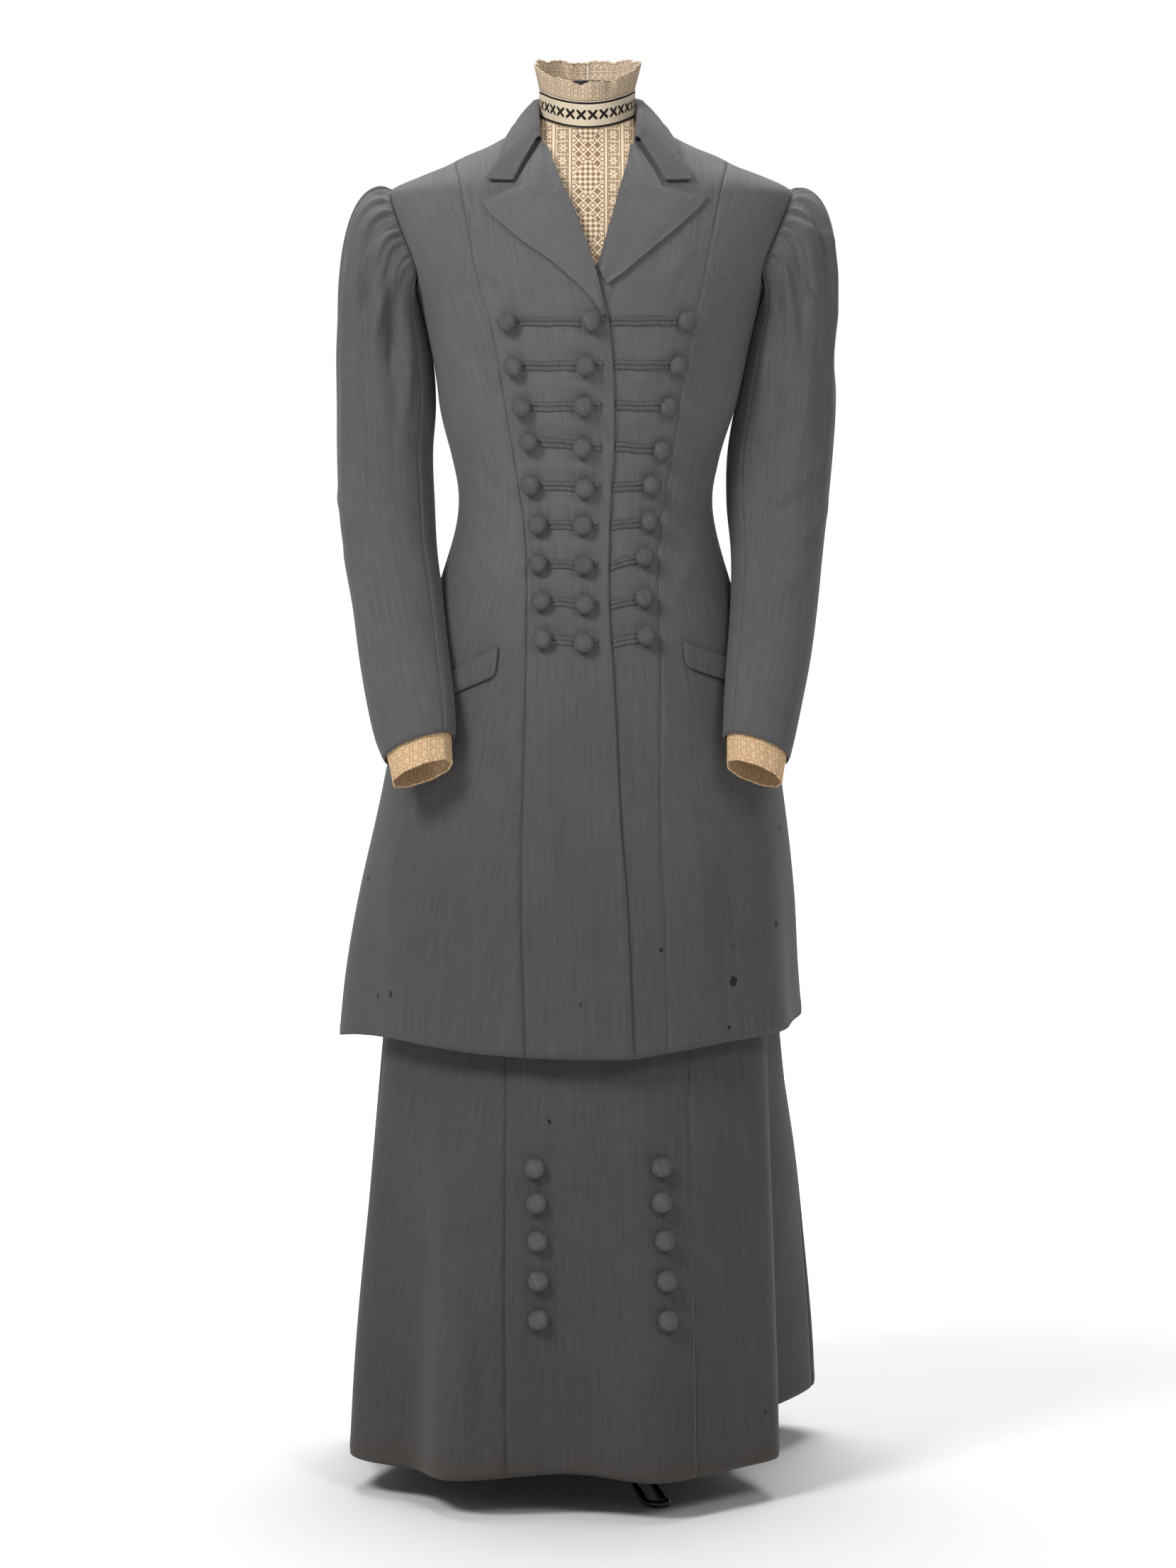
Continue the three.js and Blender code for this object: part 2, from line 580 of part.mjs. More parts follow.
// Sleeves: sections of the tube from the underarm to the end of the lace cuff. Outer and inner
// reach from the middle on each side, y of the middle, half depth, and how far the section tips
// forwards (pitch) and outwards (roll).
const SLEEVE = [
  { z: 733, outLeft: 200, inLeft: 130, outRight: 198, inRight: 133, y: -139, depth: 31, pitch: 24, roll: 19 },
  { z: 757, outLeft: 206, inLeft: 131, outRight: 203, inRight: 133, y: -128, depth: 34, pitch: 24, roll: 18 },
  { z: 775, outLeft: 214, inLeft: 131, outRight: 208, inRight: 134, y: -119, depth: 36, pitch: 26, roll: 14 },
  { z: 805, outLeft: 222, inLeft: 134, outRight: 215, inRight: 136, y: -103, depth: 39, pitch: 27, roll: 10 },
  { z: 850, outLeft: 231, inLeft: 140, outRight: 225, inRight: 140, y: -77, depth: 43, pitch: 26, roll: 6 },
  { z: 900, outLeft: 239, inLeft: 146, outRight: 233, inRight: 144, y: -46, depth: 47, pitch: 22, roll: 4 },
  { z: 950, outLeft: 249, inLeft: 153, outRight: 239, inRight: 145, y: -22, depth: 50, pitch: 16, roll: 2 },
  { z: 1000, outLeft: 254, inLeft: 156, outRight: 245, inRight: 141, y: -6, depth: 53, pitch: 9, roll: 0 },
  { z: 1050, outLeft: 256, inLeft: 158, outRight: 250, inRight: 142, y: 4, depth: 55, pitch: 5, roll: 0 },
  { z: 1100, outLeft: 256, inLeft: 155, outRight: 253, inRight: 150, y: 8, depth: 58, pitch: 2, roll: 0 },
  { z: 1150, outLeft: 256, inLeft: 158, outRight: 252, inRight: 160, y: 8, depth: 61, pitch: 0, roll: 0 },
  { z: 1190, outLeft: 254, inLeft: 166, outRight: 255, inRight: 169, y: 8, depth: 63, pitch: 0, roll: 0 },
];
const SLEEVE_POWER = 2.2;
const SLEEVE_TOP = 1190; // where the gathered head ends and the plain tube begins
const SLEEVE_HEM = 757;
const CUFF_TOP = 780;
const SLEEVE_ROWS = [SLEEVE_TOP, 1135, 1070, 1005, 950, 900, 855, 815, CUFF_TOP, SLEEVE_HEM];
const HEAD_STEPS = [0, 0.1, 0.26, 0.46, 0.7];
const GATHER = [0, 1.7, 1.5, 0.8, 0]; // height of the gathers at each step of the head
const FRONT_SEAM = 135; // degrees round the sleeve: 0 outside, 90 in front, 180 inside
const BACK_SEAM = -68;
const GATHERED = toRadians(122); // how far round the head the gathers reach
const ARMHOLE_GAP = 2.3;

// A point pushed out of the jacket's body so that it stays clear of it by inset and a gap
function clearOfBody(p, inset) {
  const gap = inset + lerp(4.6, 1.6, smooth(880, 930, p.z));
  const ring = ringAt(BODY, p.z);
  const half = (p.x < 0 ? ring.left : ring.right) + gap;
  const depth = Math.abs((p.y < ring.side ? ring.front : ring.back) - ring.side) + gap;
  const share = (Math.abs(p.x) / half) ** POWER + (Math.abs(p.y - ring.side) / depth) ** POWER;
  if (share >= 1) return p;
  const scale = share ** (-1 / POWER);
  return new THREE.Vector3(p.x * scale, ring.side + (p.y - ring.side) * scale, p.z);
}

function sleevePoint(side, z, angle, inset = 0) {
  const value = (column) => read(SLEEVE, "z", z, column);
  const hand = side < 0 ? "Left" : "Right";
  const reach = value(`out${hand}`);
  const near = value(`in${hand}`);
  const across = (reach - near) / 2 - inset;
  const depth = value("depth") - inset;
  const pitch = toRadians(value("pitch"));
  const roll = toRadians(value("roll"));
  const bend = (share) => Math.sign(share) * Math.abs(share) ** (2 / SLEEVE_POWER);
  const outward = across * bend(Math.cos(angle));
  const forward = depth * bend(Math.sin(angle));
  const p = new THREE.Vector3(
    side * ((reach + near) / 2 + outward * Math.cos(roll)),
    value("y") - forward * Math.cos(pitch),
    z - outward * Math.sin(roll) + forward * Math.sin(pitch),
  );
  return clearOfBody(p, inset);
}

// The seam end of the sleeve at an angle round it: outside is the top of the armhole
function armholePoint(side, angle, out) {
  const middle = (UNDERARM + SHOULDER_TIP) / 2;
  const z = middle + ((SHOULDER_TIP - UNDERARM) / 2) * Math.cos(angle);
  const front = armholeAngle(z);
  const ring = Math.sin(angle) < 0 ? Math.PI - front : front;
  const away = new THREE.Vector3(side, -0.25 * Math.sin(angle), 0.15 * Math.cos(angle)).normalize();
  const edge = bodyPoint(z, side * ring, out);
  return edge.addScaledVector(away, ARMHOLE_GAP);
}

function sleeveHeadPoint(side, angle, t, gather) {
  const start = armholePoint(side, angle, 0);
  const end = sleevePoint(side, SLEEVE_TOP, angle);
  const reach = start.distanceTo(end);
  const leave = new THREE.Vector3(side, -0.45 * Math.sin(angle), 0.32 * Math.cos(angle)).multiplyScalar(reach);
  const arrive = new THREE.Vector3(0, 0, -reach);
  const u = 1 - t;
  const p = start.multiplyScalar(u * u * (1 + 2 * t));
  p.addScaledVector(end, t * t * (3 - 2 * t));
  p.addScaledVector(leave, t * u * u);
  p.addScaledVector(arrive, -t * t * u);
  const puff = new THREE.Vector3(side * 0.5, -Math.sin(angle), 0.8 * Math.cos(angle)).normalize();
  return p.addScaledVector(puff, gather);
}

function sleevePanel(side, from, to, columns) {
  const half = SEAM / 2 / 36; // the seam is narrowest at the wrist
  const angles = spaced(toRadians(from) + half, toRadians(to) - half, columns);
  const head = HEAD_STEPS.length;
  const last = head + SLEEVE_ROWS.length - 1;
  const at = (row, angle, gather = 0) =>
    row < head
      ? sleeveHeadPoint(side, angle, HEAD_STEPS[row], gather)
      : sleevePoint(side, SLEEVE_ROWS[row - head], angle);
  const inwards = (row, angle) => {
    const around = at(row, angle + 0.06).sub(at(row, angle - 0.06));
    const down = at(Math.min(row + 1, last), angle).sub(at(Math.max(row - 1, 0), angle));
    return down.cross(around).multiplyScalar(side).normalize();
  };
  const outer = spaced(0, last, last).map((row) =>
    angles.map((angle, c) => {
      const gather = row < head && Math.abs(angle) < GATHERED ? GATHER[row] : 0;
      return at(row, angle, c % 2 ? gather : -gather);
    }),
  );
  const inner = outer.map((points, row) =>
    points.map((p, c) => p.clone().addScaledVector(inwards(row, angles[c]), CLOTH)),
  );
  inner[0] = angles.map((angle) => armholePoint(side, angle, -CLOTH));
  return wall(outer, inner);
}
for (const side of [-1, 1]) {
  const hand = side < 0 ? "left" : "right";
  add(`sleeve_${hand}_upper`, sleevePanel(side, BACK_SEAM, FRONT_SEAM, 21), "wool");
  add(`sleeve_${hand}_under`, sleevePanel(side, FRONT_SEAM, 360 + BACK_SEAM, 8), "wool");
  const angles = spaced(0, 2 * Math.PI, 18).slice(0, -1);
  const gap = CLOTH + LIFT + SEAM;
  const cuffRows = [CUFF_TOP, SLEEVE_HEM, 745, 733];
  const ring = (inset) => cuffRows.map((z) => angles.map((angle) => sleevePoint(side, z, angle, inset)));
  add(`lace_cuff_${hand}`, wall(ring(gap), ring(gap + LACE), true), "lace");
}

// Slanted pocket flaps: corners on the jacket's front, the outer end under the sleeve
const FLAP_LEFT = { inner: -89, innerTop: 858, innerLow: 829, outer: -150, outerTop: 824, outerLow: 803 };
const FLAP_RIGHT = { inner: 94, innerTop: 863, innerLow: 838, outer: 150, outerTop: 840, outerLow: 818 };
const FLAP_WALL = 1.6;
const FLAP_LIFT = 1.8;

function flap(place, corners, out) {
  const xs = spaced(corners.inner, corners.outer, 4);
  if (corners.outer < corners.inner) xs.reverse();
  return [0, 0.5, 1].map((drop) =>
    xs.map((x) => {
      const share = (x - corners.inner) / (corners.outer - corners.inner);
      const top = lerp(corners.innerTop, corners.outerTop, share);
      const low = lerp(corners.innerLow, corners.outerLow, share);
      return place(x, lerp(top, low, drop), out);
    }),
  );
}
const addFlap = (name, place, corners) =>
  add(name, wall(flap(place, corners, FLAP_LIFT + FLAP_WALL), flap(place, corners, FLAP_LIFT)), "wool");
addFlap("pocket_flap_left", onFront, FLAP_LEFT);
addFlap("pocket_flap_right", onUnderFront, FLAP_RIGHT);

// Nine rows of fastening: x and height of the outer button on the left, the middle one at the
// front edge and the outer one on the right. end is where the left strip stops past the middle.
const FASTENINGS = [
  { leftX: -78, leftZ: 1182, midX: 3, midZ: 1182, rightX: 96, rightZ: 1183, end: 17 },
  { leftX: -72, leftZ: 1138, midX: -2, midZ: 1139, rightX: 88, rightZ: 1139, end: 15 },
  { leftX: -64, leftZ: 1098, midX: -4, midZ: 1099, rightX: 79, rightZ: 1098, end: 13 },
  { leftX: -57, leftZ: 1064, midX: -5, midZ: 1058, rightX: 72, rightZ: 1055, end: 13 },
  { leftX: -55, leftZ: 1020, midX: -3, midZ: 1017, rightX: 62, rightZ: 1020, end: 12 },
  { leftX: -48, leftZ: 980, midX: -5, midZ: 979, rightX: 60, rightZ: 983, end: 10 },
  { leftX: -48, leftZ: 941, midX: -4, midZ: 939, rightX: 55, rightZ: 948, end: 10 },
  { leftX: -45, leftZ: 904, midX: -3, midZ: 900, rightX: 55, rightZ: 907, end: 10 },
  { leftX: -44, leftZ: 866, midX: -4, midZ: 862, rightX: 57, rightZ: 869, end: 10 },
];
const STRIP_HALF = 5; // half the height of the two lips together
const STRIP_STEP = 24; // length of a flat piece of a strip
// Cross-section of the two lips: place across the strip and height above its underside
const LIPS = [
  { across: 1, rise: 0.5 },
  { across: 0.55, rise: 1.3 },
  { across: 0, rise: 0.6 },
  { across: -0.55, rise: 1.3 },
  { across: -1, rise: 0.5 },
];
const BUTTON_PROFILE = [
  { radius: 0, height: 0 },
  { radius: 0.78, height: 0 },
  { radius: 1, height: 0.35 },
  { radius: 0.78, height: 0.82 },
  { radius: 0, height: 1 },
];
const BUTTON_SIDES = 8;

function button(foot, normal) {
  const profile = BUTTON_PROFILE.map(
    (p) => new THREE.Vector2(p.radius * BUTTON_RADIUS, p.height * BUTTON_HEIGHT),
  );
  const geometry = new THREE.LatheGeometry(profile, BUTTON_SIDES);
  geometry.applyQuaternion(new THREE.Quaternion().setFromUnitVectors(new THREE.Vector3(0, 1, 0), normal));
  return geometry.translate(foot.x, foot.y, foot.z);
}

// A button whose foot lies just over a surface given by its points and their height above it
function buttonOn(place, x, z, lift = LIFT) {
  const reach = BUTTON_RADIUS * 0.7;
  const across = place(x + reach, z, 0).sub(place(x - reach, z, 0));
  const up = place(x, z + reach, 0).sub(place(x, z - reach, 0));
  const normal = across.cross(up).normalize();
  return button(place(x, z, 0).addScaledVector(normal, lift), normal);
}

function strip(place, fromX, fromZ, toX, toZ) {
  const lengths = Math.round(Math.abs(toX - fromX) / STRIP_STEP);
  const ring = (share) => {
    const x = lerp(fromX, toX, share);
    const z = lerp(fromZ, toZ, share);
    const lips = LIPS.map((lip) => place(x, z + lip.across * STRIP_HALF, LIFT + lip.rise));
    return [...lips, place(x, z - STRIP_HALF, LIFT), place(x, z + STRIP_HALF, LIFT)];
  };
  return lofted(spaced(0, 1, lengths).map(ring));
}

FASTENINGS.forEach((row, i) => {
  const left = [
    strip(onFront, row.leftX, row.leftZ, row.end, row.midZ),
    buttonOn(onFront, row.leftX, row.leftZ),
    buttonOn(onFront, row.midX, row.midZ),
  ];
  add(`fastening_left_${i + 1}`, joined(left), "wool");
  const edge = seamX("edge")(row.rightZ) + 1.5;
  const right = [
    strip(onUnderFront, edge, row.midZ, row.rightX, row.rightZ),
    buttonOn(onUnderFront, row.rightX, row.rightZ),
  ];
  add(`fastening_right_${i + 1}`, joined(right), "wool");
});

// Skirt
const WAIST = 989; // top of the gores, under the waistband
const SKIRT_HEM = 40;
const SKIRT = [
  { z: 36, left: 244, right: 224, front: -243, back: 302, side: 38 },
  { z: 150, left: 238, right: 221, front: -230, back: 284, side: 36 },
  { z: 300, left: 227, right: 216, front: -207, back: 258, side: 34 },
  { z: 455, left: 214, right: 208, front: -180, back: 224, side: 30 },
  { z: 600, left: 200, right: 192, front: -155, back: 192, side: 24 },
  { z: 700, left: 188, right: 181, front: -138, back: 170, side: 18 },
  { z: 800, left: 173, right: 167, front: -124, back: 142, side: 12 },
  { z: 880, left: 156, right: 150, front: -114, back: 118, side: 6 },
  { z: 940, left: 138, right: 133, front: -106.5, back: 90, side: 0 },
  { z: 989, left: 127.6, right: 122.6, front: -103.6, back: 74.5, side: -4 },
  { z: 1020, left: 127.6, right: 122.6, front: -103.6, back: 73, side: -5 },
];
// Folds of the skirt, as those of the jacket: the deep one at the right side comes first.
const SKIRT_FOLDS = [
  { middle: 82, spread: 17, rise: -62, top: 820 },
  { middle: 120, spread: 14, rise: 50, top: 600 },
  { middle: 54, spread: 8, rise: 12, top: 700 },
  { middle: 15, spread: 11, rise: 17, top: 420 },
  { middle: -4, spread: 10, rise: -13, top: 420 },
  { middle: -29, spread: 10, rise: 20, top: 480 },
  { middle: -47, spread: 9, rise: -10, top: 420 },
  { middle: -64, spread: 10, rise: 22, top: 760 },
  { middle: -84, spread: 12, rise: -16, top: 700 },
  { middle: -112, spread: 13, rise: 15, top: 800 },
  { middle: -136, spread: 11, rise: -16, top: 800 },
  { middle: -158, spread: 10, rise: 18, top: 900 },
  { middle: 180, spread: 11, rise: -16, top: 900 },
  { middle: 158, spread: 10, rise: 14, top: 900 },
];
const SKIRT_HEM_HEIGHTS = [
  { angle: -180, z: 50 },
  { angle: -136, z: 48 },
  { angle: -90, z: 46 },
  { angle: -64, z: 42 },
  { angle: -47, z: 46 },
  { angle: -29, z: 40 },
  { angle: -4, z: 45 },
  { angle: 15, z: 40 },
  { angle: 54, z: 42 },
  { angle: 84, z: 48 },
  { angle: 120, z: 56 },
  { angle: 150, z: 53 },
  { angle: 180, z: 50 },
];
// Angle of each gore seam at the waist and at the hem
const GORES = [
  { name: "skirt_back_left", fromTop: -180, toTop: -112, fromHem: -180, toHem: -118, columns: 7 },
  { name: "skirt_side_left", fromTop: -112, toTop: -24, fromHem: -118, toHem: -17, columns: 12 },
  { name: "skirt_front", fromTop: -24, toTop: 27, fromHem: -17, toHem: 26, columns: 6 },
  { name: "skirt_side_right", fromTop: 27, toTop: 112, fromHem: 26, toHem: 112, columns: 13 },
  { name: "skirt_back_right", fromTop: 112, toTop: 180, fromHem: 112, toHem: 180, columns: 8 },
];
const SKIRT_ROWS = [WAIST, 920, 830, 730, 620, 510, 400, 290, 190, 105];
const SKIRT_RINGS_TOP = 1020; // the highest ring, over the waist
const skirtPoint = (z, angle, out = 0) =>
  surfacePoint(SKIRT, SKIRT_FOLDS, SKIRT_HEM, SKIRT_RINGS_TOP, z, angle, out);

function goreGrid(gore, out) {
  return [...SKIRT_ROWS, SKIRT_HEM].map((z) => {
    const down = (WAIST - z) / (WAIST - SKIRT_HEM);
    const gap = SEAM / 2 / lerp(105, 240, down);
    const from = toRadians(lerp(gore.fromTop, gore.fromHem, down)) + gap;
    const to = toRadians(lerp(gore.toTop, gore.toHem, down)) - gap;
    return spaced(from, to, gore.columns).map((angle) => {
      const hem = read(SKIRT_HEM_HEIGHTS, "angle", THREE.MathUtils.radToDeg(angle), "z");
      return skirtPoint(z === SKIRT_HEM ? hem : z, angle, out);
    });
  });
}
for (const gore of GORES) {
  panelFaces[gore.name] = goreGrid(gore, 0);
  add(gore.name, wall(panelFaces[gore.name], goreGrid(gore, -CLOTH)), "skirt");
}

const WAISTBAND_TOP = 1018;
const waistRing = (out) =>
  [WAISTBAND_TOP, WAIST + SEAM].map((z) =>
    spaced(-Math.PI, Math.PI, 34)
      .slice(0, -1)
      .map((angle) => skirtPoint(z, angle, out)),
  );
add("skirt_waistband", wall(waistRing(0), waistRing(-CLOTH), true), "skirt");

// Five covered buttons down each side of the front gore
const SKIRT_BUTTON_LIFT = 0.7; // from the cloth to a button's flat underside
const SKIRT_BUTTONS = [
  { z: 345, left: -51, right: 71 },
  { z: 311, left: -49.5, right: 71 },
  { z: 274, left: -49, right: 74 },
  { z: 235, left: -49, right: 75.5 },
  { z: 197, left: -49, right: 76.5 },
];
function skirtAngleAt(x, z) {
  const ring = ringAt(SKIRT, z);
  const share = Math.abs(x) / (x < 0 ? ring.left : ring.right);
  return Math.sign(x) * Math.asin(share ** (POWER / 2));
}
const onSmoothSkirt = (x, z, out) => skirtPoint(z, skirtAngleAt(x, z), out);
const onSkirt = restingOn(onSmoothSkirt, "skirt_front");
for (const hand of ["left", "right"]) {
  SKIRT_BUTTONS.forEach((row, i) => {
    const geometry = joined([buttonOn(onSkirt, row[hand], row.z, SKIRT_BUTTON_LIFT)]);
    add(`skirt_button_${hand}_${i + 1}`, geometry, "skirt");
  });
}

// Lace chemisette: band round the neck, frill over it, vest front in the opening of the jacket
const NECK = { x: -1, y: -10, halfWidth: 48.5, halfDepth: 63 };
const BAND_HEIGHT = 27;
const BAND_SLIT = 3.5; // degrees left open on each side of the middle of the back
const bandFoot = (angle) => 1375 + 9 * Math.sin(angle) ** 2 + 7 * (1 - Math.cos(angle));
const neckPoint = (z, angle, out) =>
  new THREE.Vector3(
    NECK.x + (NECK.halfWidth + out) * Math.sin(angle),
    NECK.y - (NECK.halfDepth + out) * Math.cos(angle),
    z,
  );
const neckAngles = spaced(-Math.PI + toRadians(BAND_SLIT), Math.PI - toRadians(BAND_SLIT), 28);
const bandGrid = (out) =>
  [1, 0].map((share) => neckAngles.map((a) => neckPoint(bandFoot(a) + share * BAND_HEIGHT, a, out)));
add("chemisette_band", wall(bandGrid(0), bandGrid(-LACE)), "lace");

const FRILL_WAVES = 8;
const FRILL_FRONT = 17; // height of the frill over the band at the front and at the back
const FRILL_BACK = 31;
const FRILL_FLARE = 4.5;
const FRILL_WAVE = 1.6;
const frillAngles = spaced(-Math.PI + toRadians(BAND_SLIT), Math.PI - toRadians(BAND_SLIT), 36);
const frillGrid = (out) =>
  [1, 0.5, 0].map((share) =>
    frillAngles.map((a) => {
      const height = lerp(FRILL_FRONT, FRILL_BACK, (1 - Math.cos(a)) / 2);
      const wave = share * FRILL_WAVE * Math.sin(FRILL_WAVES * a);
      const z = bandFoot(a) + BAND_HEIGHT + SEAM + share * (height + wave);
      return neckPoint(z, a, out + share * FRILL_FLARE + wave);
    }),
  );
add("chemisette_frill", wall(frillGrid(0), frillGrid(-LACE)), "lace");

// Rows of the vest front down from the band: half width and middle of each
const VEST = [
  { z: 1352, half: 66, middle: 0 },
  { z: 1325, half: 60, middle: 2 },
  { z: 1298, half: 52, middle: 4 },
  { z: 1270, half: 44, middle: 6 },
  { z: 1240, half: 36, middle: 8 },
  { z: 1212, half: 30, middle: 10 },
  { z: 1190, half: 27, middle: 11 },
];
const VEST_SPREAD = toRadians(76);
const VEST_INSET = CLOTH + 2.2;
const vestGrid = (inset) => {
  const angles = spaced(-VEST_SPREAD, VEST_SPREAD, 8);
  const neckRow = angles.map((a) => neckPoint(bandFoot(a) - SEAM, a, VEST_INSET - inset));
  const rows = VEST.map((row) =>
    angles.map((a) => {
      const x = row.middle + (row.half * a) / VEST_SPREAD;
      return bodyPoint(row.z, angleAt(x, row.z), -inset);
    }),
  );
  return [neckRow, ...rows];
};
add("chemisette_vest", wall(vestGrid(VEST_INSET), vestGrid(VEST_INSET + LACE)), "lace");

// Dress form: rings inside the jacket and skirt, then the neck stump, all closed
const FORM_GAP = 0.7; // from the form to the cloth that rests on it
const FORM_RINGS = [850, 890, 935, 980, 1020, 1060, 1110, 1160, 1205, 1250, 1285, 1306, 1322, 1336, 1348];
const FORM_NECK = [
  { z: 1356, halfWidth: 92, front: -76, back: 80 },
  { z: 1364, halfWidth: 58, front: -66, back: 66 },
  { z: 1374, halfWidth: 47, front: -62, back: 52 },
  { z: 1392, halfWidth: 44, front: -62, back: 44 },
  { z: 1424, halfWidth: 43, front: -62, back: 42 },
];
// How far the form stays inside the jacket: more where the vest or the skirt lies between them
function formInset(z, x) {
  const layers = VEST_INSET + LACE + FORM_GAP;
  const shoulder = smooth(1285, 1320, z) * smooth(62, 92, Math.abs(x));
  const waist = 4 * (1 - smooth(1022, 1050, z));
  const hips = 12 * (1 - smooth(850, 985, z));
  const throat = 3 * smooth(1300, 1325, z);
  return lerp(layers + throat, CLOTH + 3.5, shoulder) + waist + hips;
}
const FORM_BOTTOM = FORM_RINGS[0];
const formAngles = spaced(-Math.PI, Math.PI, 24).slice(0, -1);
const torso = FORM_RINGS.map((z) =>
  formAngles.map((angle) => {
    const trim = 14 * smooth(1200, 1240, z) * (1 - smooth(1306, 1320, z)) * Math.abs(Math.sin(angle)) ** 6;
    const p = bodyPoint(z, angle, -formInset(z, bodyPoint(z, angle).x) - trim);
    return z === FORM_BOTTOM ? p.setZ(z) : p;
  }),
);
const neckStump = FORM_NECK.map((row) =>
  formAngles.map((angle) => {
    const depth = Math.cos(angle) > 0 ? row.front : row.back;
    return new THREE.Vector3(row.halfWidth * Math.sin(angle), depth * Math.abs(Math.cos(angle)), row.z);
  }),
);
add("dress_form", lofted([...torso, ...neckStump].reverse()), "form");

// Stand: a pole under the form, and a hub with three bent rod loops as feet
const POLE_GAP = 0.3; // at the pole's top and foot
const POLE_RADIUS = 13;
const POLE_FOOT = 62;
const POLE_Y = 5;
const HUB = { radius: 24, low: 66, high: 100 };
const FOOT_REACH = 205; // from the pole to the outside of a foot's bend
const FOOT_TURNS = [21.5, 141.5, 261.5]; // degrees from the front towards the right
const BEND = 10; // radius of the bend's middle line
const FLAT = 22; // how far from its end a foot lies flat
const ROD_SIDES = 8;
const ROUND_SIDES = 20; // of the pole and the hub

const pole = new THREE.CylinderGeometry(POLE_RADIUS, POLE_RADIUS, FORM_BOTTOM - HUB.high - 2 * POLE_GAP, ROUND_SIDES);
pole.rotateX(QUARTER).translate(0, POLE_Y, (FORM_BOTTOM + HUB.high) / 2);
add("stand_pole", joined([pole]), "rod");

// One foot along +X before it is turned: out from the hub, round the bend, and back
function footPath() {
  const centre = FOOT_REACH - ROD - BEND;
  const start = HUB.radius - 8;
  const path = [
    new THREE.Vector3(start, -BEND, HUB.low + 12),
    new THREE.Vector3(FOOT_REACH - FLAT - 12, -BEND, ROD + 1.5),
    new THREE.Vector3(FOOT_REACH - FLAT, -BEND, ROD),
  ];
  for (const turn of spaced(-90, 90, 5)) {
    const a = toRadians(turn);
    path.push(new THREE.Vector3(centre + BEND * Math.cos(a), BEND * Math.sin(a), ROD));
  }
  const back = path.slice(0, 3).map((p) => new THREE.Vector3(p.x, -p.y, p.z));
  return [...path, ...back.reverse()];
}

// A rod with flat faces above and below, along a path
function rod(path) {
  const rings = path.map((p, i) => {
    const ahead = path[Math.min(i + 1, path.length - 1)].clone().sub(path[Math.max(i - 1, 0)]).normalize();
    const across = new THREE.Vector3().crossVectors(ahead, new THREE.Vector3(0, 0, 1)).normalize();
    const up = new THREE.Vector3().crossVectors(across, ahead);
    const radius = ROD / Math.cos(Math.PI / ROD_SIDES);
    return Array.from({ length: ROD_SIDES }, (_, k) => {
      const a = (2 * Math.PI * (k + 0.5)) / ROD_SIDES;
      return p
        .clone()
        .addScaledVector(across, radius * Math.cos(a))
        .addScaledVector(up, radius * Math.sin(a));
    });
  });
  return lofted(rings);
}
const hub = new THREE.CylinderGeometry(HUB.radius, HUB.radius, HUB.high - HUB.low, ROUND_SIDES);
hub.rotateX(QUARTER).translate(0, 0, (HUB.high + HUB.low) / 2);
const feet = FOOT_TURNS.map((turn) => rod(footPath()).rotateZ(toRadians(turn) - QUARTER));
const base = joined([hub, ...feet]);
base.translate(0, POLE_Y, 0);
add("stand_base", base, "rod");

export default suit;
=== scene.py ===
# %% [markdown]
# A walking suit of grey worsted on a black dress form
#
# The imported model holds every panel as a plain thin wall. This lesson dresses it: each panel is
# worked out again as a fine surface, with the folds, puckers and pressed seams of worn cloth, and
# gets a woven finish. Lengths are in millimetres until a mesh is made; Blender holds metres.

import math

import bmesh
import bpy
import numpy as np
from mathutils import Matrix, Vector


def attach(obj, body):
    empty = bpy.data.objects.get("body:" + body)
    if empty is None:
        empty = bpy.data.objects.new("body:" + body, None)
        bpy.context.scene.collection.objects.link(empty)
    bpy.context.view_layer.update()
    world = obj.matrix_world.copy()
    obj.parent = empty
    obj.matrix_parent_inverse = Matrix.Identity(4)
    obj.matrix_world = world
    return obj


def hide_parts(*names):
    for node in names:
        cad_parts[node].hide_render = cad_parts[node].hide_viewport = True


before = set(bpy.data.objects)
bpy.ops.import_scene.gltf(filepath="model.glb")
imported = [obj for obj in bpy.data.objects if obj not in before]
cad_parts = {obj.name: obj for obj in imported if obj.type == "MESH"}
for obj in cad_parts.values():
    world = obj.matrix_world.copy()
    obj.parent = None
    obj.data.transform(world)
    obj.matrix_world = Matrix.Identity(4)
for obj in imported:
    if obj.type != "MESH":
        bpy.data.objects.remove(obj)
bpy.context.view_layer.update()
MM = 0.001
CENTRE_Y = 25  # the suit's own middle lies this far behind the frame's origin
CLOTH = 2.0
print("nodes in the frame:", len(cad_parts))

# %% [markdown]
# Reading a table smoothly
#
# The suit is cut from a few rings of measurements, like a tailor's notes: a height, two half
# widths and three depths. A smooth curve through the rows of such a table gives any height between
# them, and numpy reads a whole grid of heights at once.

# %% Tables and smooth steps
def table(names, *rows):
    """Named columns, each one array: the first column rises from row to row."""
    return dict(zip(names.split(), np.array(rows, float).T))


def read(rows, column, at, key="z"):
    """A column at a value of the key: a cubic through each pair of rows, level with its neighbours."""
    keys, values = rows[key], rows[column]
    last = len(keys) - 1
    at = np.clip(np.asarray(at, float), keys[0], keys[-1])
    i = np.clip(np.searchsorted(keys, at, side="right") - 1, 0, last - 1)
    before, after = np.maximum(i - 1, 0), np.minimum(i + 2, last)
    span = keys[i + 1] - keys[i]
    leave = (values[i + 1] - values[before]) / (keys[i + 1] - keys[before]) * span
    arrive = (values[after] - values[i]) / (keys[after] - keys[i]) * span
    t = (at - keys[i]) / span
    u = 1 - t
    ends = values[i] * u * u * (1 + 2 * t) + values[i + 1] * t * t * (3 - 2 * t)
    return ends + leave * t * u * u - arrive * t * t * u


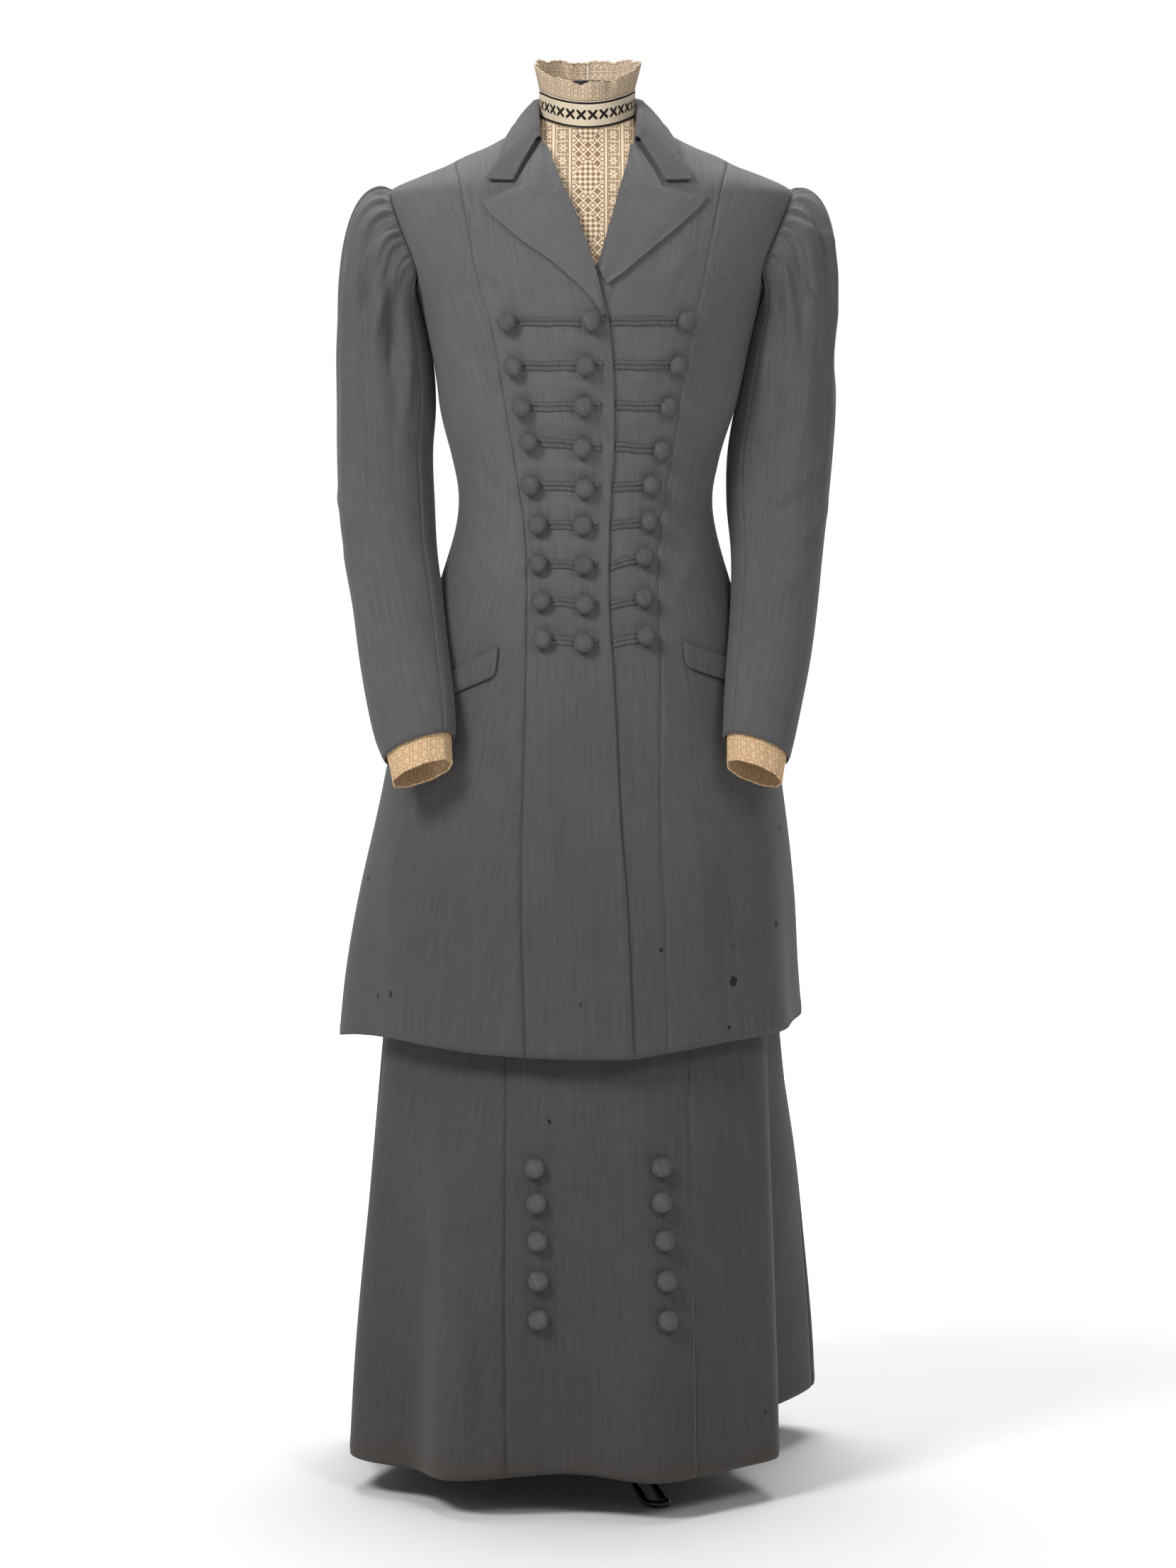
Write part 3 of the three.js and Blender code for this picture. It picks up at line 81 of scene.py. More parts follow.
def smooth(start, end, value):
    """0 before start, 1 after end, and an S-curve between them."""
    t = np.clip((value - start) / (end - start), 0, 1)
    return t * t * (3 - 2 * t)


def mix(a, b, share):
    return a + (b - a) * share


# %% [markdown]
# The jacket's body as rings
#
# Each ring is a superellipse, a rounded oval a little squarer than an ellipse. An angle of 0 is the
# middle of the front, 90 degrees the viewer's right. Soft lengthwise folds lift the ring near
# their own angle and die out upwards, as the flare of a gored coat does.

# %% Rings and folds
RING = "z left right front back side"
BODY = table(
    RING,
    (440, 253, 226, -206, 253, 26),
    (520, 246, 219, -193, 238, 26),
    (600, 234, 214, -178, 221, 25),
    (690, 215, 203, -159, 197, 22),
    (780, 196, 188, -140, 170, 17),
    (860, 172, 166, -125, 139, 10),
    (925, 150, 144, -114, 106, 2),
    (975, 135, 130, -108, 84, -4),
    (1010, 132, 127, -108, 78, -5),
    (1050, 139, 135, -113, 82, -3),
    (1100, 150, 151, -123, 93, 1),
    (1150, 159, 162, -132, 104, 4),
    (1190, 168, 172, -135, 112, 7),
    (1215, 176, 180, -133, 116, 8),
    (1240, 190, 193, -130, 119, 9),
    (1264, 201, 204, -125, 120, 10),
    (1290, 205, 209, -118, 118, 11),
    (1306, 204, 209, -113, 115, 11),
    (1318, 199, 205, -109, 112, 11),
    (1330, 173, 181, -104, 108, 10),
    (1341, 147, 153, -98, 103, 9),
    (1352, 125, 131, -91, 97, 7),
    (1362, 101, 106, -85, 90, 5),
    (1373, 81, 84, -79, 81, 3),
    (1384, 63, 64, -75, 72, 2),
)
POWER = 2.2
FOLD = "middle spread rise top"
JACKET_FOLDS = table(
    FOLD,
    (55, 11, 7, 760),
    (76, 12, -7, 760),
    (-62, 12, -5, 700),
    (-80, 12, 6, 720),
    (138, 12, 9, 900),
    (160, 14, -9, 900),
    (-138, 12, 9, 900),
    (-160, 14, -9, 900),
)


def half_width(rings, x, z):
    return np.where(x < 0, read(rings, "left", z), read(rings, "right", z))


def on_ring(rings, z, angle):
    """x and y on the superellipse at a height: each is a half size times sine or cosine to 2/POWER."""
    across, ahead = np.sin(angle), np.cos(angle)
    side = read(rings, "side", z)
    depth = np.where(ahead > 0, read(rings, "front", z), read(rings, "back", z)) - side
    x = half_width(rings, across, z) * np.sign(across) * np.abs(across) ** (2 / POWER)
    return x, side + depth * np.abs(ahead) ** (2 / POWER)


def fold_lift(folds, hem, angle, z):
    """The sum of bells round the ring, each fading from the hem up to its own top."""
    lift = 0
    for middle, spread, rise, top in zip(*(folds[c] for c in FOLD.split())):
        away = (np.mod(np.degrees(angle) - middle + 180, 360) - 180) / spread
        lift = lift + rise * (1 - smooth(hem, top, z)) * np.exp(-away * away)
    return lift


def ring_surface(rings, folds, hem, z, angle):
    """Points of the folded ring surface, as an array whose last axis is x, y, z."""
    x, y = on_ring(rings, z, angle)
    lift = fold_lift(folds, hem, angle, z)
    return np.stack([x + lift * np.sin(angle), y - lift * np.cos(angle), z + 0 * x], -1)


def unit(v):
    return v / np.maximum(np.linalg.norm(v, axis=-1, keepdims=True), 1e-9)


def moved_out(surface, z, angle, out):
    """A surface's points moved along its own normal, from differences in height and angle."""
    z, angle = np.broadcast_arrays(np.asarray(z, float), np.asarray(angle, float))
    around = surface(z, angle + 0.03) - surface(z, angle - 0.03)
    down = surface(z - 3, angle) - surface(z + 3, angle)
    return surface(z, angle) + unit(np.cross(down, around)) * np.asarray(out)[..., None]


def jacket_surface(z, angle):
    return ring_surface(BODY, JACKET_FOLDS, 455, z, angle)


def angle_at(rings, x, z):
    """The angle on the front half of a ring at x: the superellipse turned round."""
    share = np.clip(np.abs(x) / half_width(rings, x, z), 0, 1)
    return np.sign(x) * np.arcsin(share ** (POWER / 2))


# %% [markdown]
# Creases one by one
#
# Worn cloth keeps drag lines where it is pulled. Each crease is a short line across the piece with
# a width and a depth, deepest at its middle. They are uneven on purpose: a regular row of creases
# looks like corrugated card.

# %% Creases
CREASE_STRENGTH = 1.35


def creases(lines, x, z):
    """Sum of troughs (negative depth) and ridges: a bell across each line, a half sine along it."""
    lift = np.zeros(np.broadcast(x, z).shape)
    for x1, z1, x2, z2, width, depth in lines:
        run = np.array([x2 - x1, z2 - z1], float)
        length = np.hypot(*run)
        along = ((x - x1) * run[0] + (z - z1) * run[1]) / length**2
        off = ((x - x1) * run[1] - (z - z1) * run[0]) / length
        across = np.exp(-((off / width) ** 2))
        lift = lift + CREASE_STRENGTH * depth * across * np.sin(np.pi * np.clip(along, 0, 1))
    return lift


# x and height of both ends, width and depth
FRONT_CREASES = (
    (-126, 1262, -70, 1200, 9, 1.6),
    (-118, 1240, -66, 1186, 7, -1.6),
    (-150, 1180, -104, 1108, 9, 1.8),
    (-134, 1172, -92, 1096, 7, -1.6),
    (-158, 1120, -120, 1030, 9, 1.7),
    (-136, 1064, -74, 1000, 8, -1.7),
    (-132, 1030, -66, 985, 6, 1.4),
    (-120, 985, -70, 1012, 6, -1.2),
    (-112, 960, -74, 905, 9, 1.5),
    (108, 1262, 66, 1212, 9, 1.5),
    (150, 1200, 104, 1112, 9, -1.8),
    (160, 1160, 120, 1070, 8, 1.8),
    (140, 1090, 98, 1010, 7, -1.6),
    (132, 1044, 84, 992, 7, 1.6),
    (126, 1000, 86, 972, 6, -1.3),
    (118, 965, 80, 900, 9, 1.4),
    (92, 1160, 34, 1120, 8, 1.3),
    (84, 1082, 34, 1066, 6, -1.2),
    (-60, 780, -20, 560, 16, 1.6),
    (-128, 700, -150, 500, 17, -2.2),
    (-182, 720, -206, 500, 15, 2.4),
    (96, 740, 118, 520, 15, 2.2),
    (140, 700, 148, 500, 12, -2.4),
    (28, 700, 10, 500, 15, -1.4),
)
BACK_CREASES = (
    (-120, 1230, -60, 1190, 10, 1.8),
    (-140, 1160, -76, 1090, 9, -1.8),
    (-118, 1060, -50, 1014, 7, 1.7),
    (-112, 1020, -44, 992, 6, -1.5),
    (110, 1210, 52, 1160, 10, -1.7),
    (136, 1130, 70, 1064, 9, 1.8),
    (116, 1046, 48, 1004, 7, -1.7),
    (104, 1000, 40, 975, 6, 1.4),
    (30, 1130, -24, 1096, 8, 1.2),
    (-96, 780, -128, 520, 17, 2.4),
    (90, 760, 112, 500, 17, -2.4),
    (20, 800, 26, 520, 15, 2.0),
)
# Nine rows of fastening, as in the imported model
FASTENINGS = table(
    "left_x left_z mid_x mid_z right_x right_z end",
    (-78, 1182, 3, 1182, 96, 1183, 17),
    (-72, 1138, -2, 1139, 88, 1139, 15),
    (-64, 1098, -4, 1099, 79, 1098, 13),
    (-57, 1064, -5, 1058, 72, 1055, 13),
    (-55, 1020, -3, 1017, 62, 1020, 12),
    (-48, 980, -5, 979, 60, 983, 10),
    (-48, 941, -4, 939, 55, 948, 10),
    (-45, 904, -3, 900, 55, 907, 10),
    (-44, 866, -4, 862, 57, 869, 10),
)
PUFF = (2.4, 3.4, 3.8, 3.6, 3.0, 2.3, 1.9, 1.5, 0.9)  # of the cloth under each row of fastening


def puffs(x, z):
    """The cloth swells under each row of buttons, most at the front edge: one bell for each row."""
    lift = 0
    for i, puff in enumerate(PUFF):
        drop = 17 + 2 * math.sin(2.3 * i)
        across = np.exp(-(((x + 14 + 4 * math.sin(i)) / 34) ** 2))
        lift = lift + puff * across * np.exp(-(((z - FASTENINGS["mid_z"][i] + drop) / 10) ** 2))
        lift = lift - 0.8 * across * np.exp(-(((z - FASTENINGS["mid_z"][i]) / 9) ** 2))
    return lift


OVERLAP_LIFT = 3


def front_lift(x, z, over):
    """How far the cloth of a front stands off the plain surface at x and z."""
    lift = creases(FRONT_CREASES, x, z)
    if over:
        return lift + OVERLAP_LIFT * smooth(-75, -22, x) + puffs(x, z)
    return lift + 0.35 * puffs(x - 60, z)


def front_point(x, z, out, over):
    """A point on the front of the jacket at x and z, out from the cloth's own creased face."""
    x, z = np.broadcast_arrays(np.asarray(x, float), np.asarray(z, float))
    lift = out + front_lift(x, z, over)
    return moved_out(jacket_surface, z, angle_at(BODY, x, z), lift)


# %% [markdown]
# From a grid of points to a piece of cloth
#
# A panel is a grid of points. It becomes one mesh of quads with a UV map in real metres, measured
# along its rows and columns, so that the weave runs with the cloth wherever the panel bends. A
# Solidify modifier gives the wall its thickness, inwards from the face that was worked out.

# %% Mesh makers
def lengths_along(points, axis):
    """Running length in metres along one axis of a grid."""
    steps = np.linalg.norm(np.diff(points, axis=axis), axis=-1)
    pad = [(0, 0), (0, 0)]
    pad[axis] = (1, 0)
    return np.pad(np.cumsum(steps, axis=axis), pad)


def grid_mesh(name, points_mm, material, closed=False, flip=False):
    """A mesh of quads from rows x columns of points; closed joins the last column to the first."""
    points = (points_mm + np.array([0, -CENTRE_Y, 0])) * MM
    rows, columns = points.shape[:2]
    if closed:
        points = np.concatenate([points, points[:, :1]], axis=1)
    u = lengths_along(points, 1)
    u = u - u.mean(axis=1, keepdims=True)
    v = -lengths_along(points, 0).mean(axis=1, keepdims=True) + 0 * u
    index = np.arange(rows * columns).reshape(rows, columns)
    if closed:
        index = np.concatenate([index, index[:, :1]], axis=1)
    corner = [index[:-1, :-1], index[1:, :-1], index[1:, 1:], index[:-1, 1:]]
    uv = [g.ravel() for g in (u[:-1, :-1], u[1:, :-1], u[1:, 1:], u[:-1, 1:])]
    vv = [g.ravel() for g in (v[:-1, :-1], v[1:, :-1], v[1:, 1:], v[:-1, 1:])]
    if flip:
        corner, uv, vv = corner[::-1], uv[::-1], vv[::-1]
    quads = np.stack([c.ravel() for c in corner], -1)
    flat = points[:, :columns].reshape(-1, 3)
    mesh = bpy.data.meshes.new(name)
    mesh.vertices.add(len(flat))
    mesh.vertices.foreach_set("co", flat.ravel())
    mesh.loops.add(quads.size)
    mesh.loops.foreach_set("vertex_index", quads.ravel())
    mesh.polygons.add(len(quads))
    mesh.polygons.foreach_set("loop_start", np.arange(0, quads.size, 4))
    mesh.update(calc_edges=True)
    mesh.polygons.foreach_set("use_smooth", np.ones(len(quads), bool))
    layer = mesh.uv_layers.new(name="cloth")
    layer.data.foreach_set("uv", np.stack([np.stack(uv, -1), np.stack(vv, -1)], -1).ravel())
    mesh.materials.append(material)
    mesh.validate()
    piece = bpy.data.objects.new(name, mesh)
    bpy.context.scene.collection.objects.link(piece)
    return piece


def joined_mesh(name, parts, material):
    """One piece from several lists of points in millimetres and faces."""
    points, faces, start = [], [], 0
    for part_points, part_faces in parts:
        points.append(part_points)
        faces += [tuple(int(start + i) for i in face) for face in part_faces]
        start += len(part_points)
    flat = (np.concatenate(points) + np.array([0, -CENTRE_Y, 0])) * MM
    mesh = bpy.data.meshes.new(name)
    mesh.from_pydata(flat.tolist(), [], faces)
    mesh.polygons.foreach_set("use_smooth", np.ones(len(faces), bool))
    mesh.materials.append(material)
    piece = bpy.data.objects.new(name, mesh)
    bpy.context.scene.collection.objects.link(piece)
    return piece


def take_place(piece, node):
    """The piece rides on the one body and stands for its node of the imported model."""
    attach(piece, "root")
    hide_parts(node)


def thicken(piece, wall_mm):
    wall = piece.modifiers.new("wall", "SOLIDIFY")
    wall.thickness = wall_mm * MM
    wall.offset = -1
    wall.use_even_offset = False


def cloth_piece(node, points, material, wall_mm, closed=False, flip=False):
    """A finished sheet: mesh, wall and place in the model."""
    piece = grid_mesh(f"{node}_cloth", points, material, closed, flip)
    thicken(piece, wall_mm)
    take_place(piece, node)
    return piece


# %% [markdown]
# Finishes: worsted cloth
#
# The cloth is a fine grey worsted. Close up it is a plain weave; from a step away it shows faint
# uneven streaks both ways, where single yarns are lighter or thicker. One node group makes these
# streaks from stretched noise, and each cloth places it with its own colour.

# %% Small helpers for nodes
def new_node(tree, kind, values=None, **settings):
    """A node with its inputs set, or linked where the value is another node's socket."""
    node = tree.nodes.new(kind)
    for name, value in settings.items():
        setattr(node, name, value)
    for key, value in (values or {}).items():
        if isinstance(value, bpy.types.NodeSocket):
            tree.links.new(value, node.inputs[key])
        else:
            node.inputs[key].default_value = value
    return node


def math_node(tree, operation, a, b=0.0, clamp=False):
    return new_node(tree, "ShaderNodeMath", {0: a, 1: b}, operation=operation, use_clamp=clamp).outputs[0]


def past(tree, high, low, gain):
    """How far high is over low, times the gain, held between 0 and 1."""
    return math_node(tree, "MULTIPLY", math_node(tree, "SUBTRACT", high, low), gain, clamp=True)


def from_middle(tree, value, repeat):
    """Place within a repeat of this length, in repeats from its middle."""
    return math_node(tree, "SUBTRACT", math_node(tree, "FRACT", math_node(tree, "DIVIDE", value, repeat)), 0.5)


def scaled(tree, vector, by):
    return new_node(tree, "ShaderNodeVectorMath", {0: vector, 1: by}, operation="MULTIPLY").outputs[0]


def noise(tree, vector, scale, detail=2.0):
    values = {"Vector": vector, "Scale": scale, "Detail": detail}
    return new_node(tree, "ShaderNodeTexNoise", values).outputs["Fac"]


def new_group(name, inputs, outputs):
    """An empty node group with named sockets: (name, socket kind, default)."""
    tree = bpy.data.node_groups.new(name, "ShaderNodeTree")
    for label, kind, default in inputs:
        socket = tree.interface.new_socket(label, in_out="INPUT", socket_type=kind)
        socket.default_value = default
    for label, kind in outputs:
        tree.interface.new_socket(label, in_out="OUTPUT", socket_type=kind)
    return tree, tree.nodes.new("NodeGroupInput").outputs, tree.nodes.new("NodeGroupOutput").inputs


def place_group(tree, group, values):
    return new_node(tree, "ShaderNodeGroup", values, node_tree=group).outputs


# %% The weave group
FLOAT, VECTOR = "NodeSocketFloat", "NodeSocketVector"


def worsted_group():
    """Tone = 1 plus streaks along warp and weft, yarn grain and slow clouds; Height follows the yarns."""
    inputs = [("Place", VECTOR, (0, 0, 0)), ("Streaks", FLOAT, 1.0)]
    tree, given, result = new_group("worsted", inputs, [("Tone", FLOAT), ("Height", FLOAT)])
    place = given["Place"]
    warp = noise(tree, scaled(tree, place, (1150, 26, 1)), 1.0, 3.0)
    weft = noise(tree, scaled(tree, place, (30, 1150, 1)), 1.0, 3.0)
    broad = noise(tree, scaled(tree, place, (230, 6, 1)), 1.0, 2.0)
    grain = noise(tree, scaled(tree, place, (1700, 1700, 1)), 1.0, 2.0)
    cloud = noise(tree, scaled(tree, place, (11, 11, 1)), 1.0, 2.0)
    tone = math_node(tree, "MULTIPLY", math_node(tree, "SUBTRACT", warp, 0.5), 0.8)
    for value, amount in ((weft, 0.45), (broad, 0.3), (grain, 0.7), (cloud, 0.16)):
        centred = math_node(tree, "SUBTRACT", value, 0.5)
        tone = math_node(tree, "ADD", tone, math_node(tree, "MULTIPLY", centred, amount))
    tone = math_node(tree, "MULTIPLY", tone, given["Streaks"])
    tree.links.new(math_node(tree, "ADD", tone, 1.0), result["Tone"])
    yarns = math_node(tree, "ADD", warp, weft)
    height = math_node(tree, "ADD", yarns, math_node(tree, "MULTIPLY", grain, 0.8))
    tree.links.new(height, result["Height"])
    return tree


WORSTED = worsted_group()


# %% [markdown]
# Age: holes and soiling, and painted shade by height
#
# The cloth is old: moths have left small holes near the hems, and the skirt's hem is worn and
# brownish. A hole is a dark spot with a ragged rim, placed in the model's own coordinates. The
# cloth is also painted darker towards the bottom, as painted shade.

# %% Wear groups and painted shade by height
def spot_group():
    """Mask of one ragged spot: near 1 within Radius of Centre, its rim broken by noise."""
    inputs = [("Centre", VECTOR, (0, 0, 0)), ("Radius", FLOAT, 0.002)]
    tree, given, result = new_group("spot", inputs, [("Mask", FLOAT)])
    place = new_node(tree, "ShaderNodeTexCoord").outputs["Object"]
    values = {0: place, 1: given["Centre"]}
    away = new_node(tree, "ShaderNodeVectorMath", values, operation="SUBTRACT").outputs[0]
    flat = scaled(tree, away, (1.2, 0.5, 0.9))
    far = new_node(tree, "ShaderNodeVectorMath", {0: flat}, operation="LENGTH").outputs["Value"]
    rim = math_node(tree, "MULTIPLY", math_node(tree, "SUBTRACT", noise(tree, place, 420.0, 3.0), 0.5), 0.009)
    inside = math_node(tree, "SUBTRACT", given["Radius"], math_node(tree, "ADD", far, rim))
    tree.links.new(math_node(tree, "MULTIPLY", inside, 2200.0, clamp=True), result["Mask"])
    return tree


def soil_group():
    """Mask of brownish dirt: strongest at the given height and patchy upwards."""
    inputs = [("Low", FLOAT, 0.04), ("Reach", FLOAT, 0.1)]
    tree, given, result = new_group("soil", inputs, [("Mask", FLOAT)])
    place = new_node(tree, "ShaderNodeTexCoord").outputs["Object"]
    height = new_node(tree, "ShaderNodeSeparateXYZ", {0: place}).outputs["Z"]
    above = math_node(tree, "DIVIDE", math_node(tree, "SUBTRACT", height, given["Low"]), given["Reach"])
    fade = math_node(tree, "SUBTRACT", 1.0, above, clamp=True)
    patches = math_node(tree, "MULTIPLY", noise(tree, place, 26.0, 5.0), 1.5, clamp=True)
    faded = math_node(tree, "MULTIPLY", math_node(tree, "POWER", fade, 2.0), patches)
    tree.links.new(faded, result["Mask"])
    return tree


def height_shade_group():
    """Painted shade by height: the tone is Shaded at Low and under it, 1 at High and over it, with slow clouds
    between.
    """
    inputs = [("Low", FLOAT, 0.5), ("High", FLOAT, 1.1), ("Shaded", FLOAT, 0.75)]
    tree, given, result = new_group("painted_height_shade", inputs, [("Tone", FLOAT)])
    place = new_node(tree, "ShaderNodeTexCoord").outputs["Object"]
    height = new_node(tree, "ShaderNodeSeparateXYZ", {0: place}).outputs["Z"]
    cloud = math_node(tree, "MULTIPLY", math_node(tree, "SUBTRACT", noise(tree, place, 5.0), 0.5), 0.3)
    height = math_node(tree, "ADD", height, cloud)
    values = {"Value": height, 1: given["Low"], 2: given["High"], 3: given["Shaded"], 4: 1.0}
    tone = new_node(tree, "ShaderNodeMapRange", values, interpolation_type="SMOOTHSTEP").outputs[0]
    tree.links.new(tone, result["Tone"])
    return tree


SPOT, SOIL, HEIGHT_SHADE = spot_group(), soil_group(), height_shade_group()

# %% Cloth materials
DARK_HOLE = (0.012, 0.011, 0.011, 1)
SOIL_BROWN = (0.06, 0.047, 0.036, 1)
# x, height and radius in millimetres, in the suit's own measures
JACKET_HOLES = (
    (-215, 505, 2.0),
    (-200, 509, 3.0),
    (-8, 508, 1.8),
    (72, 560, 1.8),
    (146, 561, 1.8),
    (145, 526, 4.6),
    (140, 481, 2.4),
    (187, 577, 3.0),
    (196, 671, 3.2),
    (-223, 618, 2.6),
)
# x, y, height and radius: the skirt's own surface comes in a later lesson step
SKIRT_HOLES = ((-38, -189, 391, 2.0), (-226, -17, 88, 3.2), (178, -153, 92, 2.4))


def on_jacket(x, z, radius):
    """A hole's centre on the jacket's surface, from x and height."""
    x, y, z = jacket_surface(np.float64(z), angle_at(BODY, np.float64(x), np.float64(z)))
    return x, y, z, radius


def worsted(name, colour, holes=(), soil=None, painted_height_shade=None, streaks=1.0):
    """Wool: the colour times the tone of the weave and a painted shade by height, dark at holes and brown where
    soiled.
    """
    material = bpy.data.materials.new(name)
    material.use_nodes = True
    tree = material.node_tree
    shader = tree.nodes["Principled BSDF"]
    place = new_node(tree, "ShaderNodeUVMap", uv_map="cloth").outputs["UV"]
    weave = place_group(tree, WORSTED, {"Place": place, "Streaks": streaks})
    base = new_node(tree, "ShaderNodeVectorMath", {0: colour, 3: weave["Tone"]}, operation="SCALE").outputs[0]
    # painted shade: the cloth is made darker towards the bottom by a tone that falls with height
    if painted_height_shade:
        low, high, shaded = painted_height_shade
        tone = place_group(tree, HEIGHT_SHADE, {"Low": low * MM, "High": high * MM, "Shaded": shaded})["Tone"]
        base = new_node(tree, "ShaderNodeVectorMath", {0: base, 3: tone}, operation="SCALE").outputs[0]
    if soil:
        mask = place_group(tree, SOIL, {"Low": soil[0] * MM, "Reach": soil[1] * MM})["Mask"]
        values = {"Factor": mask, 6: base, 7: SOIL_BROWN}
        base = new_node(tree, "ShaderNodeMix", values, data_type="RGBA").outputs[2]
    for x, y, z, radius in holes:
        centre = (x * MM, (y - CENTRE_Y) * MM, z * MM)
        mask = place_group(tree, SPOT, {"Centre": centre, "Radius": radius * MM})["Mask"]
        values = {"Factor": mask, 6: base, 7: DARK_HOLE}
        base = new_node(tree, "ShaderNodeMix", values, data_type="RGBA").outputs[2]
    tree.links.new(base, shader.inputs["Base Color"])
    bump = new_node(tree, "ShaderNodeBump", {"Height": weave["Height"], "Strength": 0.35, "Distance": 0.0004})
    tree.links.new(bump.outputs[0], shader.inputs["Normal"])
    shader.inputs["Roughness"].default_value = 0.88
    shader.inputs["Specular IOR Level"].default_value = 0.25
    shader.inputs["Sheen Weight"].default_value = 0.12
    return material


JACKET_MARKS = [on_jacket(*hole) for hole in JACKET_HOLES]
# The three numbers given to the jacket and the skirt darken their cloth towards the bottom: painted shade.
JACKET_WOOL = worsted("jacket_wool", (0.12, 0.117, 0.12), JACKET_MARKS, painted_height_shade=(560, 1120, 0.63))
COLLAR_WOOL = worsted("collar_wool", (0.097, 0.094, 0.097))
# painted light: the lapels' cloth is set a little lighter than the jacket's
LAPEL_WOOL = worsted("lapel_wool", (0.124, 0.121, 0.124))
SLEEVE_WOOL = worsted("sleeve_wool", (0.1, 0.097, 0.101))
# painted shade: the skirt's cloth is set much darker than the jacket's
SKIRT_WOOL = worsted("skirt_wool", (0.068, 0.065, 0.067), SKIRT_HOLES, soil=(38, 50), painted_height_shade=(60, 420, 0.86))
BUTTON_WOOL_COLOUR = (0.089, 0.086, 0.088)
print("cloth materials made")


# %% [markdown]
# Lengthwise seams of the jacket
#
# A fitted jacket gets its waist from seams that run from shoulder to hem. A panel's grid spans two
# of them: its columns spread over the width between the seams, its rows from the shoulder down.

# %% Seams and edges
UNDERARM, SHOULDER_TIP, NECK_POINT = 1215, 1318, 1384
PRINCESS_TOP, BACK_SEAM_TOP, ROLL_TOP = 1347.5, 1354, 1364
QUARTER = math.pi / 2
ARMHOLE = table(
    "z angle", (1215, 90), (1219, 78), (1228, 69), (1245, 65), (1264, 65), (1285, 69), (1302, 75),
    (1312, 82), (1318, 90),
)
SEAMS = table(
    "z left right back edge",
    (440, 61, 80, 138, 45),
    (600, 66, 76, 116, 39),
    (690, 65, 72, 98, 32),
    (820, 62, 73, 72, 26),
    (900, 61, 71, 54, 21),
    (960, 62, 71, 45, 21),
    (1010, 68, 78, 42, 23),
    (1060, 76, 86, 48, 26),
    (1120, 86, 94, 62, 26),
    (1180, 97, 105, 77, 21),
    (1215, 108, 114, 86, 12),
    (1281, 121, 127, 102, -9),
    (1320, 129, 135, 111, -26),
    (1346, 136, 142, 118, -38),
    (1364, 140, 146, 122, -46),
)
UNDER_EDGE = table(
    "z x", (440, -22), (1180, -22), (1200, -12), (1222, 3), (1242, 10.5), (1281, 22), (1320, 33),
    (1346, 41), (1364, 46),
)
HEM = table(
    "angle z", (-180, 461), (-135, 456), (-88, 453), (-68, 462), (-48, 465), (-20, 457), (8, 454),
    (20, 460), (38, 467), (60, 471), (90, 473), (135, 468), (180, 461),
)


def seam_angle(name, side, top, z):
    """The seam's angle from the middle, running up into the shoulder seam at its top."""
    angle = np.abs(angle_at(BODY, side * read(SEAMS, name, z), z))
    return mix(angle, QUARTER, smooth(top - 3, top, z))


def side_angle(z):
    """The side seam at the side of the ring, and above the underarm the armhole's edge."""
    return np.where(z > UNDERARM, np.radians(read(ARMHOLE, "angle", z)), QUARTER)


def panel_edges(side, hand):
    """x, angle and top of each lengthwise edge on one side of the jacket."""
    front_top = {"x": lambda z: side * read(SEAMS, hand, z), "top": PRINCESS_TOP}
    front_top["angle"] = lambda z: side * seam_angle(hand, side, PRINCESS_TOP, z)
    back_top = {"x": lambda z: side * read(SEAMS, "back", z), "top": BACK_SEAM_TOP}
    back_top["angle"] = lambda z: side * (math.pi - seam_angle("back", side, BACK_SEAM_TOP, z))
    edge = (lambda z: read(SEAMS, "edge", z)) if side < 0 else (lambda z: read(UNDER_EDGE, "x", z))
    return {
        "edge": {"x": edge, "top": ROLL_TOP},
        "front": front_top,
        "side": {"angle": lambda z: side * side_angle(z), "top": SHOULDER_TIP},
        "side_back": {"angle": lambda z: side * (math.pi - side_angle(z)), "top": SHOULDER_TIP},
        "back": back_top,
        "middle": {"x": lambda z: 0 * z, "top": NECK_POINT},
    }


def top_edge(side, neck, end, place):
    """x and height of a centre panel's top: round the neck to the neck point, then the shoulder."""
    tip = side * half_width(BODY, side, NECK_POINT)
    z_out = mix(NECK_POINT, end, 2 * place - 1)
    x = np.where(place > 0.5, side * half_width(BODY, side, z_out), mix(neck[0], tip, 2 * place))
    return x, np.where(place > 0.5, z_out, mix(neck[1], NECK_POINT, 2 * place))


TOP_ROWS, LOW_ROWS = 44, 100  # of a panel's grid, over and under the underarm


